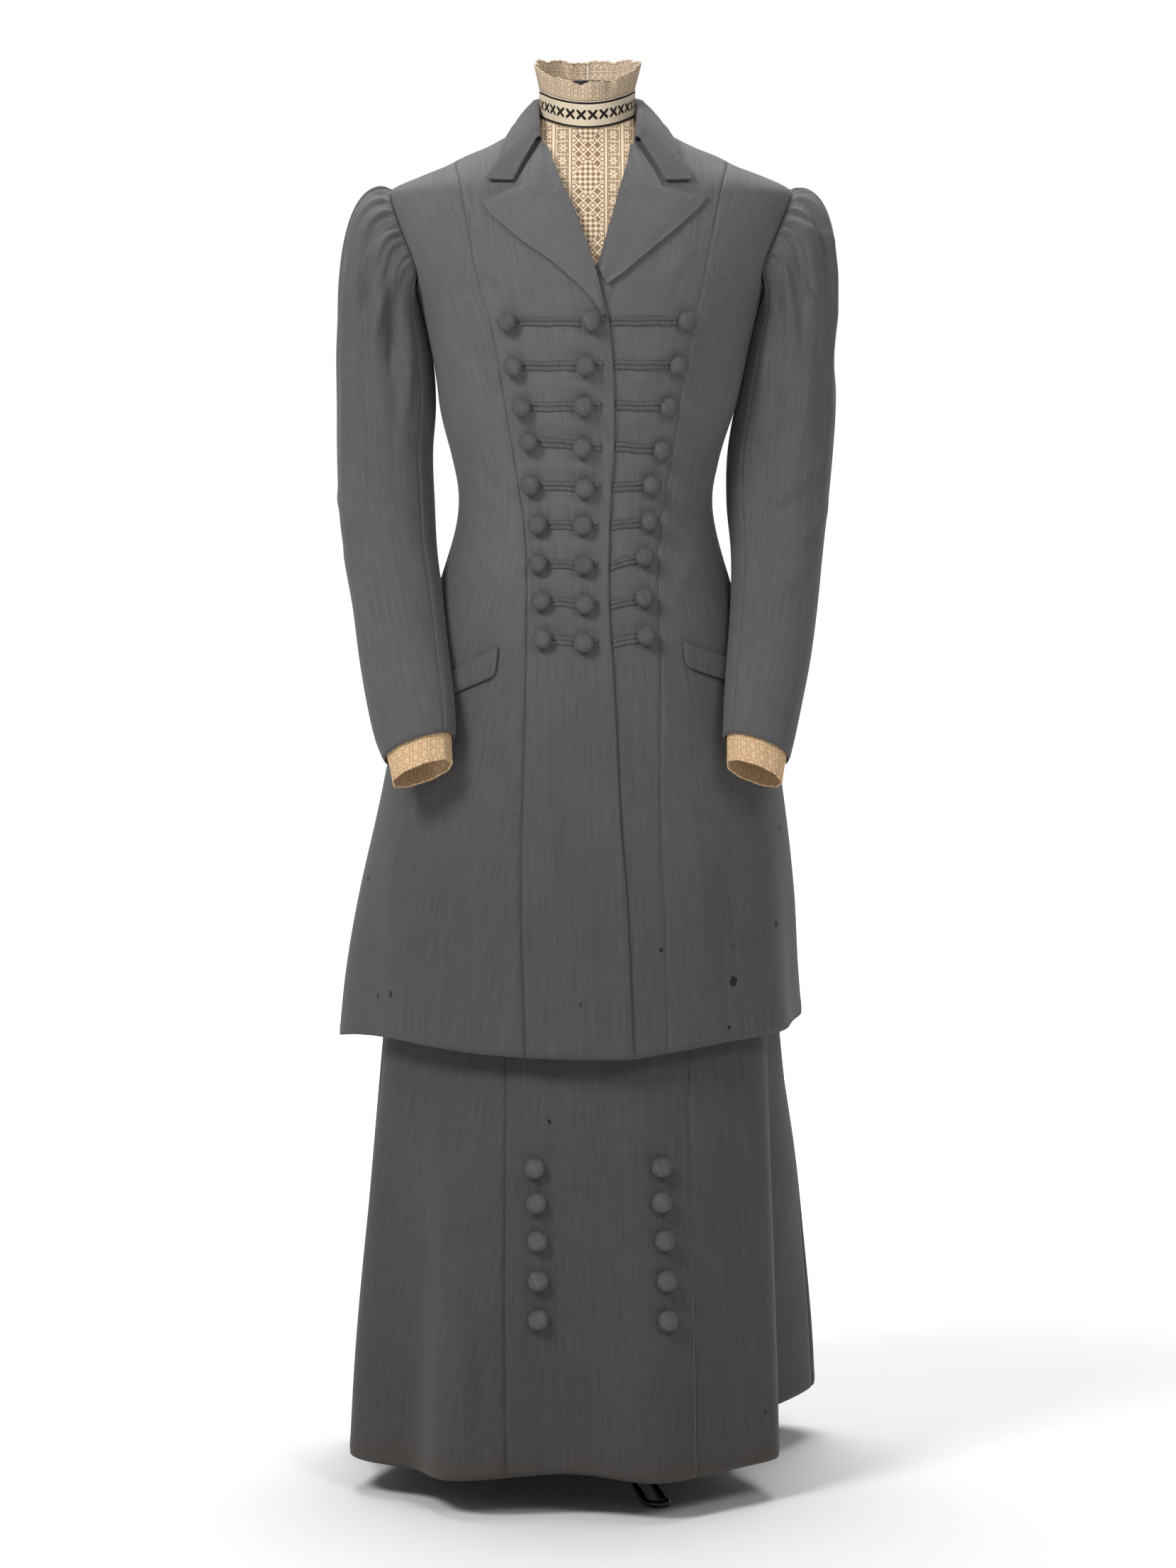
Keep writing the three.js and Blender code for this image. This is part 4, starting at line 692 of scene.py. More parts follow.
def panel_places(side, start, end, neck, front, columns):
    """Heights and angles of a panel's grid: upper rows fan out to the top edge, lower ones drop."""
    share = np.concatenate([np.linspace(1, 0, TOP_ROWS) ** 1.3, np.zeros(LOW_ROWS)])[:, None]
    drop = np.concatenate([np.zeros(TOP_ROWS), np.linspace(0, 1, LOW_ROWS + 1)[1:]])[:, None]
    place = np.linspace(0, 1, columns)[None, :]
    row_z = mix(UNDERARM, 455, drop)
    from_z = mix(row_z, start["top"], share)
    to_z = mix(row_z, end["top"], share)
    z = mix(from_z, to_z, place)
    if neck is None:
        angle = mix(start["angle"](from_z), end["angle"](to_z), place)
    else:
        top_x, top_z = top_edge(side, neck, end["top"], place)
        end_x = end["x"](np.array(end["top"]))
        weight = share**2
        z = z + weight * (top_z - mix(neck[1], end["top"], place))
        x = mix(start["x"](from_z), end["x"](to_z), place)
        x = x + weight * (top_x - mix(neck[0], end_x, place))
        angle = angle_at(BODY, x, z)
        if not front:
            angle = side * (math.pi - np.abs(angle))
        angle = np.where(place == 1, end["angle"](to_z), angle)
    gap = 0.0012
    size = np.abs(angle)
    size = np.minimum(size, QUARTER - gap) if front else np.maximum(size, QUARTER + gap)
    angle = np.where(angle < 0, -size, size)
    hem = read(HEM, "z", np.degrees(angle), key="angle")
    return z + drop**3 * (hem - 455), angle


# %% [markdown]
# Pressed seams
#
# A sewn seam is a shallow groove with a rounded cloth edge on each side. The same small roll is
# used at every edge: the last few millimetres of a panel turn in, and free edges, such as the hem
# and the front edge, are a little fuller, because the cloth is folded under there.

# %% Panels of the jacket
def edge_roll(points, seams):
    """How far the cloth turns in near its edges: a bell on the distance in millimetres to each."""
    lift = np.zeros(points.shape[:2])
    for axis, (first, last) in ((1, seams[:2]), (0, seams[2:])):
        run = lengths_along(points, axis)
        total = run.max(axis=axis, keepdims=True)
        for depth, away in ((first, run), (last, total - run)):
            lift -= abs(depth) * np.exp(-((away / 1.6) ** 2))
            if depth < 0:
                lift += 0.35 * np.exp(-(((away - 7) / 6) ** 2))
    return lift


def grid_normals(points):
    down, along = np.gradient(points, axis=0), np.gradient(points, axis=1)
    return unit(np.cross(down, along))


def jacket_panel(node, side, start, end, seams, columns, neck=None, front=False, over=False):
    """A jacket panel: its plain surface, then creases, and the roll of its edges, moved outwards."""
    z, angle = panel_places(side, start, end, neck, front, columns)
    plain = jacket_surface(z, angle)
    lines = FRONT_CREASES if front else BACK_CREASES
    lift = front_lift(plain[..., 0], z, over) if front else creases(lines, plain[..., 0], z)
    lift = lift * smooth(1384, 1300, z) if not front else lift
    lift = lift + edge_roll(plain, seams)
    points = moved_out(jacket_surface, z, angle, lift - 0.1)
    turn = side if front else -side
    return cloth_piece(
        node, points, JACKET_WOOL, CLOTH - 0.3, flip=turn < 0
    )


for side, hand in ((-1, "left"), (1, "right")):
    edges = panel_edges(side, hand)
    over = side < 0
    neck = (float(edges["edge"]["x"](np.array(ROLL_TOP))), ROLL_TOP)
    seamed, front_rolls = (0.9, 0.9, 0.5, -0.3), (-0.4, 0.9, 0.5, -0.3)
    back_neck = (0, NECK_POINT)
    jacket_panel(f"jacket_front_{hand}", side, edges["edge"], edges["front"], front_rolls, 58, neck, True, over)
    jacket_panel(f"jacket_side_front_{hand}", side, edges["front"], edges["side"], seamed, 48, front=True)
    jacket_panel(f"jacket_side_back_{hand}", side, edges["back"], edges["side_back"], seamed, 46)
    jacket_panel(f"jacket_back_{hand}", side, edges["middle"], edges["back"], seamed, 36, back_neck)

# %% [markdown]
# Lapels and collar
#
# The fronts roll back above the top button, and the collar falls over the neck to a notch. Both
# are flat strips of two layers, pressed but springy: they puff a little beside the fold.

# %% Lapels
LAPEL = "roll roll_z edge edge_z"
LAPEL_LEFT = table(
    LAPEL,
    (18.5, 1188, 16, 1187),
    (14, 1206, 6, 1201),
    (9.5, 1226, -8, 1217),
    (3.5, 1247, -33, 1239),
    (-4, 1268, -67, 1263),
    (-11, 1286, -97, 1289),
    (-15, 1296, -106, 1303),
    (-24, 1315, -73, 1315.5),
    (-34, 1338, -59.5, 1338),
    (-42, 1357, -46.5, 1357),
)
LAPEL_RIGHT = table(
    LAPEL,
    (11.5, 1233, 19, 1219),
    (14.5, 1246, 36, 1231),
    (18.5, 1262, 56, 1248),
    (23, 1279, 86, 1273),
    (27, 1294, 112, 1297),
    (29, 1300, 118, 1306),
    (34, 1316, 74, 1316),
    (39, 1338, 60.5, 1338),
    (43, 1357, 47.5, 1357),
)
LAPEL_LIFT = 1.6


def lapel(node, rows, side, over):
    """A lapel: straight lines from roll to edge, each row a step between the table's rows."""
    steps = np.linspace(0, len(rows["roll"]) - 1, 90)
    column = {name: np.interp(steps, np.arange(len(rows["roll"])), rows[name]) for name in LAPEL.split()}
    share = np.linspace(0, 1, 44)[None, :]
    x = mix(column["roll"][:, None], column["edge"][:, None], share)
    z = mix(column["roll_z"][:, None], column["edge_z"][:, None], share)
    puff = 1.3 * np.sin(math.pi * share) ** 2 + 0.5 * np.sin(9 * share + 0.03 * z)
    flat = front_point(x, z, LAPEL_LIFT + CLOTH + puff, over)
    points = flat + grid_normals(flat) * side * (edge_roll(flat, (0, -0.5, -0.2, -0.3)))[..., None]
    return cloth_piece(
        node, points[::-1], LAPEL_WOOL, CLOTH - 0.2, flip=side < 0
    )


lapel("lapel_left", LAPEL_LEFT, -1, True)
lapel("lapel_right", LAPEL_RIGHT, 1, False)

# %% Collar
COLLAR = table(
    "s fold_x fold_y fold_z edge_z edge_angle stand puff",
    (0, 0, 64, 1413, 1360, 180, 22, 4),
    (1, 24, 60, 1413, 1360, 152, 22, 4),
    (2, 43, 46, 1412, 1362, 128, 22, 3.5),
    (3, 50.5, 25, 1409, 1373, 108, 21, 2.5),
    (4, 51.5, -2, 1405, 1380, 90, 19, 1.8),
    (5, 51.5, -28, 1399, 1371, 62, 15, 1.8),
    (6, 51, -54, 1390, 1349, 38, 11, 1.4),
    (7, 49.5, -72, 1378, 1321, 28.5, 8, 1),
    (8, 48.5, -80.5, 1367, 1320.5, 20, 4, 1.2),
)
COLLAR_STATIONS = 151


def collar_points():
    """Stations round the neck, each a curve from inside the stand over the fold to the fall's edge."""
    last = COLLAR["s"][-1]
    station = np.linspace(-last, last, COLLAR_STATIONS)
    s, side = np.abs(station), np.where(station < 0, -1.0, 1.0)
    value = {name: read(COLLAR, name, s, key="s") for name in COLLAR if name != "s"}
    corner = s > 7
    for name in ("edge_z", "edge_angle", "fold_x", "fold_y", "fold_z"):
        straight = np.interp(s, COLLAR["s"], COLLAR[name])
        value[name] = np.where(corner, straight, value[name])
    fold = np.stack([side * value["fold_x"], value["fold_y"], value["fold_z"]], -1)
    edge_angle = side * np.radians(value["edge_angle"])
    lift = np.full(COLLAR_STATIONS, LAPEL_LIFT + CLOTH)
    edge = moved_out(jacket_surface, value["edge_z"], edge_angle, lift)
    fall = edge - fold
    outward = unit(np.stack([fold[:, 0], fold[:, 1] + 4, 0 * s], -1))
    normal = unit(outward - unit(fall) * (unit(fall) * outward).sum(-1, keepdims=True))
    low = fold - outward * CLOTH / 2
    low[:, 2] -= value["stand"]
    high = fold - outward * CLOTH / 2
    high[:, 2] -= 2
    top = fold.copy()
    top[:, 2] += CLOTH / 2
    rows = [mix(low, high, share) for share in np.linspace(0, 1, 8)]
    rolled = fold + fall * 0.1 + normal * 2.4
    rows += [mix(mix(high, top, t), mix(top, rolled, t), t) for t in np.linspace(0.2, 1, 6)]
    for share in np.linspace(0.14, 1, 34):
        puff = (value["puff"] * 4 * share * (1 - share) + CLOTH / 2 * (1 - share))[:, None]
        rows.append(fold + fall * share + normal * puff)
    return np.stack(rows)


collar = collar_points()
collar = collar + grid_normals(collar) * edge_roll(collar, (-0.4, -0.4, 0, -0.5))[..., None]
cloth_piece("collar", collar, COLLAR_WOOL, CLOTH - 0.2)

# %% [markdown]
# Sleeves
#
# The sleeve is a bent two-piece tube. Its head is wider than the armhole, so it is drawn up there
# in small gathers that die out down the arm, and drag lines run from the armhole and the elbow.

# %% Sleeve sections
SLEEVE = table(
    "z out_left in_left out_right in_right y depth pitch roll",
    (733, 200, 130, 198, 133, -139, 31, 24, 19),
    (757, 206, 131, 203, 133, -128, 34, 24, 18),
    (775, 214, 131, 208, 134, -119, 36, 26, 14),
    (805, 222, 134, 215, 136, -103, 39, 27, 10),
    (850, 231, 140, 225, 140, -77, 43, 26, 6),
    (900, 239, 146, 233, 144, -46, 47, 22, 4),
    (950, 249, 153, 239, 145, -22, 50, 16, 2),
    (1000, 254, 156, 245, 141, -6, 53, 9, 0),
    (1050, 256, 158, 250, 142, 4, 55, 5, 0),
    (1100, 256, 155, 253, 150, 8, 58, 2, 0),
    (1150, 256, 158, 252, 160, 8, 61, 0, 0),
    (1190, 254, 166, 255, 169, 8, 63, 0, 0),
)
SLEEVE_TOP, SLEEVE_HEM, CUFF_TOP, CUFF_HEM = 1190, 757, 780, 733
FRONT_SEAM, BACK_SEAM = 135, -68
ARMHOLE_GAP = 0.6


def clear_of_body(p, inset):
    """Points inside the jacket's ring are pushed out along the line from its middle."""
    z = p[..., 2]
    gap = inset + mix(4.6, 1.6, smooth(880, 930, z))
    side = read(BODY, "side", z)
    half = half_width(BODY, p[..., 0], z) + gap
    reach = np.where(p[..., 1] < side, read(BODY, "front", z), read(BODY, "back", z))
    depth = np.abs(reach - side) + gap
    share = (np.abs(p[..., 0]) / half) ** POWER + (np.abs(p[..., 1] - side) / depth) ** POWER
    scale = np.where(share < 1, np.maximum(share, 1e-6) ** (-1 / POWER), 1.0)
    return np.stack([p[..., 0] * scale, side + (p[..., 1] - side) * scale, z], -1)


def sleeve_tube(side, z, angle, inset=0.0):
    """A tilted superellipse section of the sleeve: 0 is outside, 90 degrees is in front."""
    value = {name: read(SLEEVE, name, z) for name in SLEEVE if name != "z"}
    hand = "left" if side < 0 else "right"
    reach, near = value[f"out_{hand}"], value[f"in_{hand}"]
    pitch, roll = np.radians(value["pitch"]), np.radians(value["roll"])
    outward = ((reach - near) / 2 - inset) * np.sign(np.cos(angle)) * np.abs(np.cos(angle)) ** (2 / POWER)
    forward = (value["depth"] - inset) * np.sign(np.sin(angle)) * np.abs(np.sin(angle)) ** (2 / POWER)
    x = side * ((reach + near) / 2 + outward * np.cos(roll))
    y = value["y"] - forward * np.cos(pitch)
    height = z - outward * np.sin(roll) + forward * np.sin(pitch)
    return clear_of_body(np.stack([x, y, height], -1), inset)


def sleeve_head(side, t, angle):
    """A cubic from the armhole, leaving outwards, to the top of the tube, arriving straight down."""
    z = (UNDERARM + SHOULDER_TIP) / 2 + (SHOULDER_TIP - UNDERARM) / 2 * np.cos(angle)
    front = np.radians(read(ARMHOLE, "angle", z))
    ring = side * np.where(np.sin(angle) < 0, math.pi - front, front)
    sine, cosine = np.sin(angle), np.cos(angle)
    away = unit(np.stack([side + 0 * sine, -0.25 * sine, 0.15 * cosine], -1))
    start = jacket_surface(z, ring) + away * ARMHOLE_GAP
    end = sleeve_tube(side, SLEEVE_TOP + 0 * angle, angle)
    reach = np.linalg.norm(end - start, axis=-1, keepdims=True)
    leave = np.stack([side + 0 * sine, -0.45 * sine, 0.32 * cosine], -1)
    under = smooth(-0.45, -0.9, cosine)[..., None]
    leave = mix(leave, np.array([0.2 * side, 0, -1.0]), under) * reach
    arrive = np.array([0, 0, -1.0]) * reach
    t, u = t[..., None], 1 - t[..., None]
    return start * u * u * (1 + 2 * t) + end * t * t * (3 - 2 * t) + leave * t * u * u - arrive * t * t * u


# Degrees round the sleeve and height of both ends, width and depth
SLEEVE_CREASES = {
    "left": (
        (120, 1235, 92, 1120, 7, -4.2),
        (108, 1245, 74, 1140, 6, 3.4),
        (96, 1262, 58, 1180, 6, -3.0),
        (84, 1278, 48, 1204, 6, 2.2),
        (128, 1200, 112, 1080, 8, 2.6),
        (40, 1290, 22, 1180, 8, -1.8),
        (60, 1110, 130, 1050, 9, 2.2),
        (20, 1060, 112, 1012, 10, -2.4),
        (50, 1030, 128, 985, 8, 2.0),
        (-20, 1010, 70, 985, 9, 1.6),
        (30, 975, 130, 930, 9, -2.0),
        (70, 905, 128, 870, 8, 1.6),
        (10, 860, 80, 830, 10, -1.3),
        (200, 1180, 250, 1060, 10, 2.2),
        (260, 1150, 286, 1010, 10, -2.2),
        (190, 1000, 280, 950, 9, -1.9),
        (-60, 1200, -40, 1060, 10, 2.0),
        (-50, 1000, 10, 950, 9, -1.7),
    ),
    "right": (
        (118, 1228, 96, 1110, 7, -4.4),
        (106, 1242, 82, 1130, 6, 3.6),
        (92, 1252, 60, 1196, 5, -2.8),
        (70, 1282, 26, 1262, 6, 2.6),
        (60, 1296, 34, 1240, 5, -2.4),
        (30, 1250, 62, 1150, 9, 2.0),
        (126, 1190, 114, 1060, 8, 2.4),
        (-6, 1230, 8, 1120, 9, -1.8),
        (70, 1090, 132, 1036, 9, -2.2),
        (24, 1050, 110, 1000, 9, 2.2),
        (60, 1010, 130, 968, 8, -2.0),
        (0, 1000, 76, 960, 9, 1.5),
        (40, 940, 126, 900, 9, 1.8),
        (76, 880, 130, 850, 8, -1.5),
        (200, 1190, 246, 1070, 10, -2.2),
        (256, 1160, 284, 1030, 10, 2.2),
        (190, 1010, 276, 960, 9, 1.9),
        (-58, 1190, -36, 1050, 10, -2.0),
    ),
}


def gathers(side, angle, run):
    """Fine waves at the seam and broader folds below it; run is 0 at the seam and 1 at the tube."""
    phase = 0.9 if side < 0 else 2.1
    wave = np.sin(27 * angle + phase + 1.3 * np.sin(4 * angle)) + 0.5 * np.sin(43 * angle + 2 * phase)
    broad = np.sin(8.5 * angle + 2 * phase + 1.1 * np.sin(3 * angle + phase)) + 0.4 * np.sin(14 * angle)
    inside = smooth(math.radians(126), math.radians(104), np.abs(angle))
    return inside * (2.2 * wave * np.exp(-3.0 * run) + 3.0 * broad * run / 0.6 * np.exp(1 - run / 0.6))


def sleeve_points(side, start, end, columns):
    """Rows of the head, then rows of the tube, both over one range of angles."""
    angle = np.linspace(math.radians(start), math.radians(end), columns)[None, :]
    t = np.linspace(0, 1, 41)[:-1, None] ** 1.2
    z = np.linspace(SLEEVE_TOP, SLEEVE_HEM, 96)[:, None]
    head = sleeve_head(side, t + 0 * angle, angle + 0 * t)
    tube = sleeve_tube(side, z + 0 * angle, angle + 0 * z)
    plain = np.concatenate([head, tube])
    lift = np.zeros(plain.shape[:2])
    run = np.concatenate([t, 1 + (SLEEVE_TOP - z) / 110])
    lift += gathers(side, angle, run)
    hand = "left" if side < 0 else "right"
    round_sleeve = np.degrees(angle) + 0 * plain[..., 2]
    fade = smooth(CUFF_TOP - 10, CUFF_TOP + 60, plain[..., 2])
    lift += fade * creases(SLEEVE_CREASES[hand], round_sleeve, plain[..., 2])
    lift[: len(t)] *= smooth(-0.02, 0.1, t)
    lift += edge_roll(plain, (0.8, 0.8, 0.9, -0.5))
    points = plain + grid_normals(plain) * -side * (lift - 0.1)[..., None]
    tucked = points[:1] + unit(points[:1] - points[1:2]) * 3.5 - [side * 1.6, 0, 0]
    return np.concatenate([tucked, points])


for side, hand in ((-1, "left"), (1, "right")):
    upper = sleeve_points(side, BACK_SEAM, FRONT_SEAM, 130)
    under = sleeve_points(side, FRONT_SEAM, 360 + BACK_SEAM, 60)
    for name, points in (("upper", upper), ("under", under)):
        node = f"sleeve_{hand}_{name}"
        cloth_piece(node, points, SLEEVE_WOOL, CLOTH - 0.3, flip=side > 0)

# %% [markdown]
# Pocket flaps
#
# Two narrow flaps slant down over the hips and run under the sleeves. Each lies flat on the coat.

# %% Flaps
FLAP = "inner inner_top inner_low outer outer_top outer_low"
FLAPS = {
    "left": dict(zip(FLAP.split(), (-89, 858, 829, -150, 824, 803))),
    "right": dict(zip(FLAP.split(), (94, 863, 838, 150, 840, 818))),
}
for hand, corners in FLAPS.items():
    side = -1 if hand == "left" else 1
    share = np.linspace(0, 1, 60)[None, :]
    drop = np.linspace(0, 1, 26)[:, None]
    x = mix(corners["inner"], corners["outer"], share) + side * 2.5 * (1 - share) * drop
    top = mix(corners["inner_top"], corners["outer_top"], share)
    low = mix(corners["inner_low"], corners["outer_low"], share)
    corner = 1 - np.clip(share * 9, 0, 1)
    z = mix(top, low, drop) + 5 * (1 - np.sqrt(np.clip(1 - corner**2, 0, 1))) * drop**6
    flat = front_point(x, z, 3.3, hand == "left")
    puff = 0.4 * np.sin(math.pi * drop) + edge_roll(flat, (-0.6, 0, 0.2, -0.6))
    points = front_point(x, z, 3.3 + puff, hand == "left")
    under = [f"jacket_side_front_{hand}_cloth"]
    cloth_piece(f"pocket_flap_{hand}", points, JACKET_WOOL, 1.5, flip=side < 0)

# %% [markdown]
# Covered buttons and their strips
#
# Each row has two narrow lips of cloth, like a bound buttonhole drawn out into a strip, with a
# cloth-covered button at each end. A button is a spun profile: a ball a little flattened, drawn in
# underneath where the cloth is gathered.

# %% Shapes of a button and a strip
BUTTON_RADIUS, BUTTON_HEIGHT = 10.2, 13.0


def spun_button(foot, normal):
    """A circle of each profile radius, stacked along the normal; the crown is a flattened ball."""
    turn = np.linspace(0, 2 * math.pi, 37)[:-1]
    rise = np.linspace(-0.86, 1, 17)
    radius = BUTTON_RADIUS * np.sqrt(np.clip(1 - rise**2, 0, 1)) ** 0.9
    height = BUTTON_HEIGHT * (0.47 + 0.5 * rise)
    normal = np.asarray(normal) / np.linalg.norm(normal)
    first = np.cross(normal, [0, 0, 1.0])
    first /= np.linalg.norm(first)
    second = np.cross(normal, first)
    circle = np.cos(turn)[:, None] * first + np.sin(turn)[:, None] * second
    rings = foot + height[:-1, None, None] * normal + radius[:-1, None, None] * circle[None]
    points = np.concatenate([rings.reshape(-1, 3), [foot + height[-1] * normal], [foot]])
    sides, top = len(turn), len(rings) - 1
    faces = []
    for start in range(0, top * sides, sides):
        for i in range(sides):
            after = (i + 1) % sides
            faces.append((start + i, start + after, start + sides + after, start + sides + i))
    crown, under = len(points) - 2, len(points) - 1
    faces += [(top * sides + i, top * sides + (i + 1) % sides, crown) for i in range(sides)]
    faces += [((i + 1) % sides, i, under) for i in range(sides)]
    return points, faces


def flipped(part):
    return part[0], [tuple(reversed(face)) for face in part[1]]


def front_button(x, z, over):
    foot = front_point(x, z, 1.0, over)
    across = front_point(x + 7, z, 0, over) - front_point(x - 7, z, 0, over)
    up = front_point(x, z + 7, 0, over) - front_point(x, z - 7, 0, over)
    return flipped(spun_button(foot, np.cross(across, up)))


def strip(x1, z1, x2, z2, over):
    """Two rolled lips side by side: the height over the cloth is two round arches across the strip."""
    steps = np.linspace(0, 1, 44)[:, None]
    across = np.linspace(-1, 1, 21)[None, :]
    x = mix(x1, x2, steps) + 0 * across
    wobble = 0.35 * np.sin(0.21 * x + 0.7)
    z = mix(z1, z2, steps) + across * 4.3 + wobble
    arch = np.sqrt(np.clip(1 - ((np.abs(across) - 0.52) / 0.5) ** 2, 0, 1))
    rise = 0.3 + 1.3 * arch + 0.15 * np.sin(0.5 * x + 3 * across)
    top = front_point(x, z, 0.35 + rise, over)
    base = front_point(x, z, 0.1, over)
    rows, columns = top.shape[:2]
    points = np.concatenate([top.reshape(-1, 3), base.reshape(-1, 3)])
    index = np.arange(rows * columns).reshape(rows, columns)
    low = index + rows * columns
    upper = np.stack([index[:-1, :-1], index[1:, :-1], index[1:, 1:], index[:-1, 1:]], -1)
    under = np.stack([low[:-1, :-1], low[:-1, 1:], low[1:, 1:], low[1:, :-1]], -1)
    faces = [tuple(corners) for corners in np.concatenate([upper.reshape(-1, 4), under.reshape(-1, 4)])]
    ring = np.concatenate([index[:, 0], index[-1, 1:], index[-2::-1, -1], index[0, -2:0:-1]])
    below = ring + rows * columns
    faces += [(a, b, d, c) for a, b, c, d in zip(np.roll(ring, -1), ring, np.roll(below, -1), below)]
    part = (points, faces)
    return part if x2 > x1 else flipped(part)


# %% [markdown]
# The buttons' own cloth
#
# A covered button has no warp and weft of its own to follow, so its weave is laid on by Object
# coordinates. Its tone is painted lighter on faces turned to the front, as painted light, and darker
# towards the rim, as painted shade.

# %% Button material
RIM_SHADE, FACING_LIGHT = 0.5, 0.62  # painted shade: the tone at the rim; painted light: how much lighter faces turned to the front get


def button_cloth(name, colour):
    material = bpy.data.materials.new(name)
    material.use_nodes = True
    tree = material.node_tree
    shader = tree.nodes["Principled BSDF"]
    place = new_node(tree, "ShaderNodeTexCoord").outputs["Object"]
    turned = new_node(tree, "ShaderNodeMapping", {0: place, "Rotation": (math.pi / 2, 0, 0.4)}).outputs[0]
    weave = place_group(tree, WORSTED, {"Place": turned, "Streaks": 1.25})
    # painted light and shade: the tone is lighter where the face turns to the front and darker towards the rim
    normal = new_node(tree, "ShaderNodeNewGeometry").outputs["Normal"]
    values = {0: normal, 1: (0, -FACING_LIGHT, 0)}
    forward = new_node(tree, "ShaderNodeVectorMath", values, operation="DOT_PRODUCT").outputs["Value"]
    painted_light = math_node(tree, "ADD", math_node(tree, "MAXIMUM", forward, 0.0), RIM_SHADE)
    tone = math_node(tree, "MULTIPLY", weave["Tone"], painted_light)
    base = new_node(tree, "ShaderNodeVectorMath", {0: colour, 3: tone}, operation="SCALE").outputs[0]
    tree.links.new(base, shader.inputs["Base Color"])
    bump = new_node(tree, "ShaderNodeBump", {"Height": weave["Height"], "Strength": 0.4, "Distance": 0.0004})
    tree.links.new(bump.outputs[0], shader.inputs["Normal"])
    shader.inputs["Roughness"].default_value = 0.85
    shader.inputs["Specular IOR Level"].default_value = 0.25
    shader.inputs["Sheen Weight"].default_value = 0.15
    return material


BUTTON_WOOL = button_cloth("button_wool", BUTTON_WOOL_COLOUR)
for i in range(len(FASTENINGS["left_x"])):
    row = {name: float(values[i]) for name, values in FASTENINGS.items()}
    left = [
        strip(row["left_x"], row["left_z"], row["end"], row["mid_z"], True),
        front_button(row["left_x"], row["left_z"], True),
        front_button(row["mid_x"], row["mid_z"], True),
    ]
    edge = float(read(SEAMS, "edge", row["right_z"])) + 1.5
    right = [
        strip(edge, row["mid_z"], row["right_x"], row["right_z"], False),
        front_button(row["right_x"], row["right_z"], False),
    ]
    for hand, parts in (("left", left), ("right", right)):
        piece = joined_mesh(f"fastening_{hand}_{i + 1}_cloth", parts, BUTTON_WOOL)
        take_place(piece, f"fastening_{hand}_{i + 1}")
print("nine rows of fastening made")

# %% [markdown]
# The skirt
#
# A gored skirt hangs from the waist in a few broad flutes that open towards the hem. Its panels
# follow the same kind of rings, with deeper folds. The weave hangs straight down the middle of
# each gore.

# %% Skirt panels
WAIST, SKIRT_HEM = 989, 40
SKIRT = table(
    RING,
    (36, 244, 224, -243, 302, 38),
    (150, 238, 221, -230, 284, 36),
    (300, 227, 216, -207, 258, 34),
    (455, 214, 208, -180, 224, 30),
    (600, 200, 192, -155, 192, 24),
    (700, 188, 181, -138, 170, 18),
    (800, 173, 167, -124, 142, 12),
    (880, 156, 150, -114, 118, 6),
    (940, 138, 133, -106.5, 90, 0),
    (989, 127.6, 122.6, -103.6, 74.5, -4),
    (1020, 127.6, 122.6, -103.6, 73, -5),
)
SKIRT_FOLDS = table(
    FOLD,
    (82, 17, -62, 820),
    (120, 14, 50, 600),
    (54, 8, 12, 700),
    (15, 11, 17, 420),
    (-4, 10, -13, 420),
    (-29, 10, 20, 480),
    (-47, 9, -10, 420),
    (-64, 10, 22, 760),
    (-84, 12, -16, 700),
    (-112, 13, 15, 800),
    (-136, 11, -16, 800),
    (-158, 10, 18, 900),
    (180, 11, -16, 900),
    (158, 10, 14, 900),
)
SKIRT_HEMS = table(
    "angle z", (-180, 50), (-136, 48), (-90, 44), (-68, 38), (-52, 34), (-32, 37), (-4, 45), (15, 40),
    (54, 42), (84, 48), (120, 56), (150, 53), (180, 50),
)
GORES = (
    ("skirt_back_left", -180, -112, -180, -118, 62),
    ("skirt_side_left", -112, -24, -118, -17, 84),
    ("skirt_front", -24, 27, -17, 26, 56),
    ("skirt_side_right", 27, 112, 26, 112, 84),
    ("skirt_back_right", 112, 180, 112, 180, 62),
)
SKIRT_CREASES = (
    (-60, 430, -20, 240, 16, 1.6),
    (34, 440, 20, 220, 15, -1.5),
    (-150, 420, -136, 180, 18, 2.4),
    (-196, 400, -204, 160, 14, -2.4),
    (-108, 220, -104, 60, 10, -2.4),
    (-122, 200, -124, 60, 9, 2.2),
    (118, 420, 124, 160, 12, 2.2),
    (146, 380, 156, 140, 9, -2.2),
    (10, 200, 6, 60, 16, -1.6),
    (-36, 300, 50, 284, 22, 0.8),
)


def skirt_surface(z, angle):
    return ring_surface(SKIRT, SKIRT_FOLDS, SKIRT_HEM, z, angle)


def skirt_lift(z, angle):
    x = skirt_surface(z, angle)[..., 0]
    ahead = np.cos(angle)
    front = creases(SKIRT_CREASES, x, z) * smooth(-0.05, 0.1, ahead)
    back = creases(SKIRT_CREASES, -x * 0.8 + 20, z + 30) * smooth(0.05, -0.1, ahead)
    return front + back


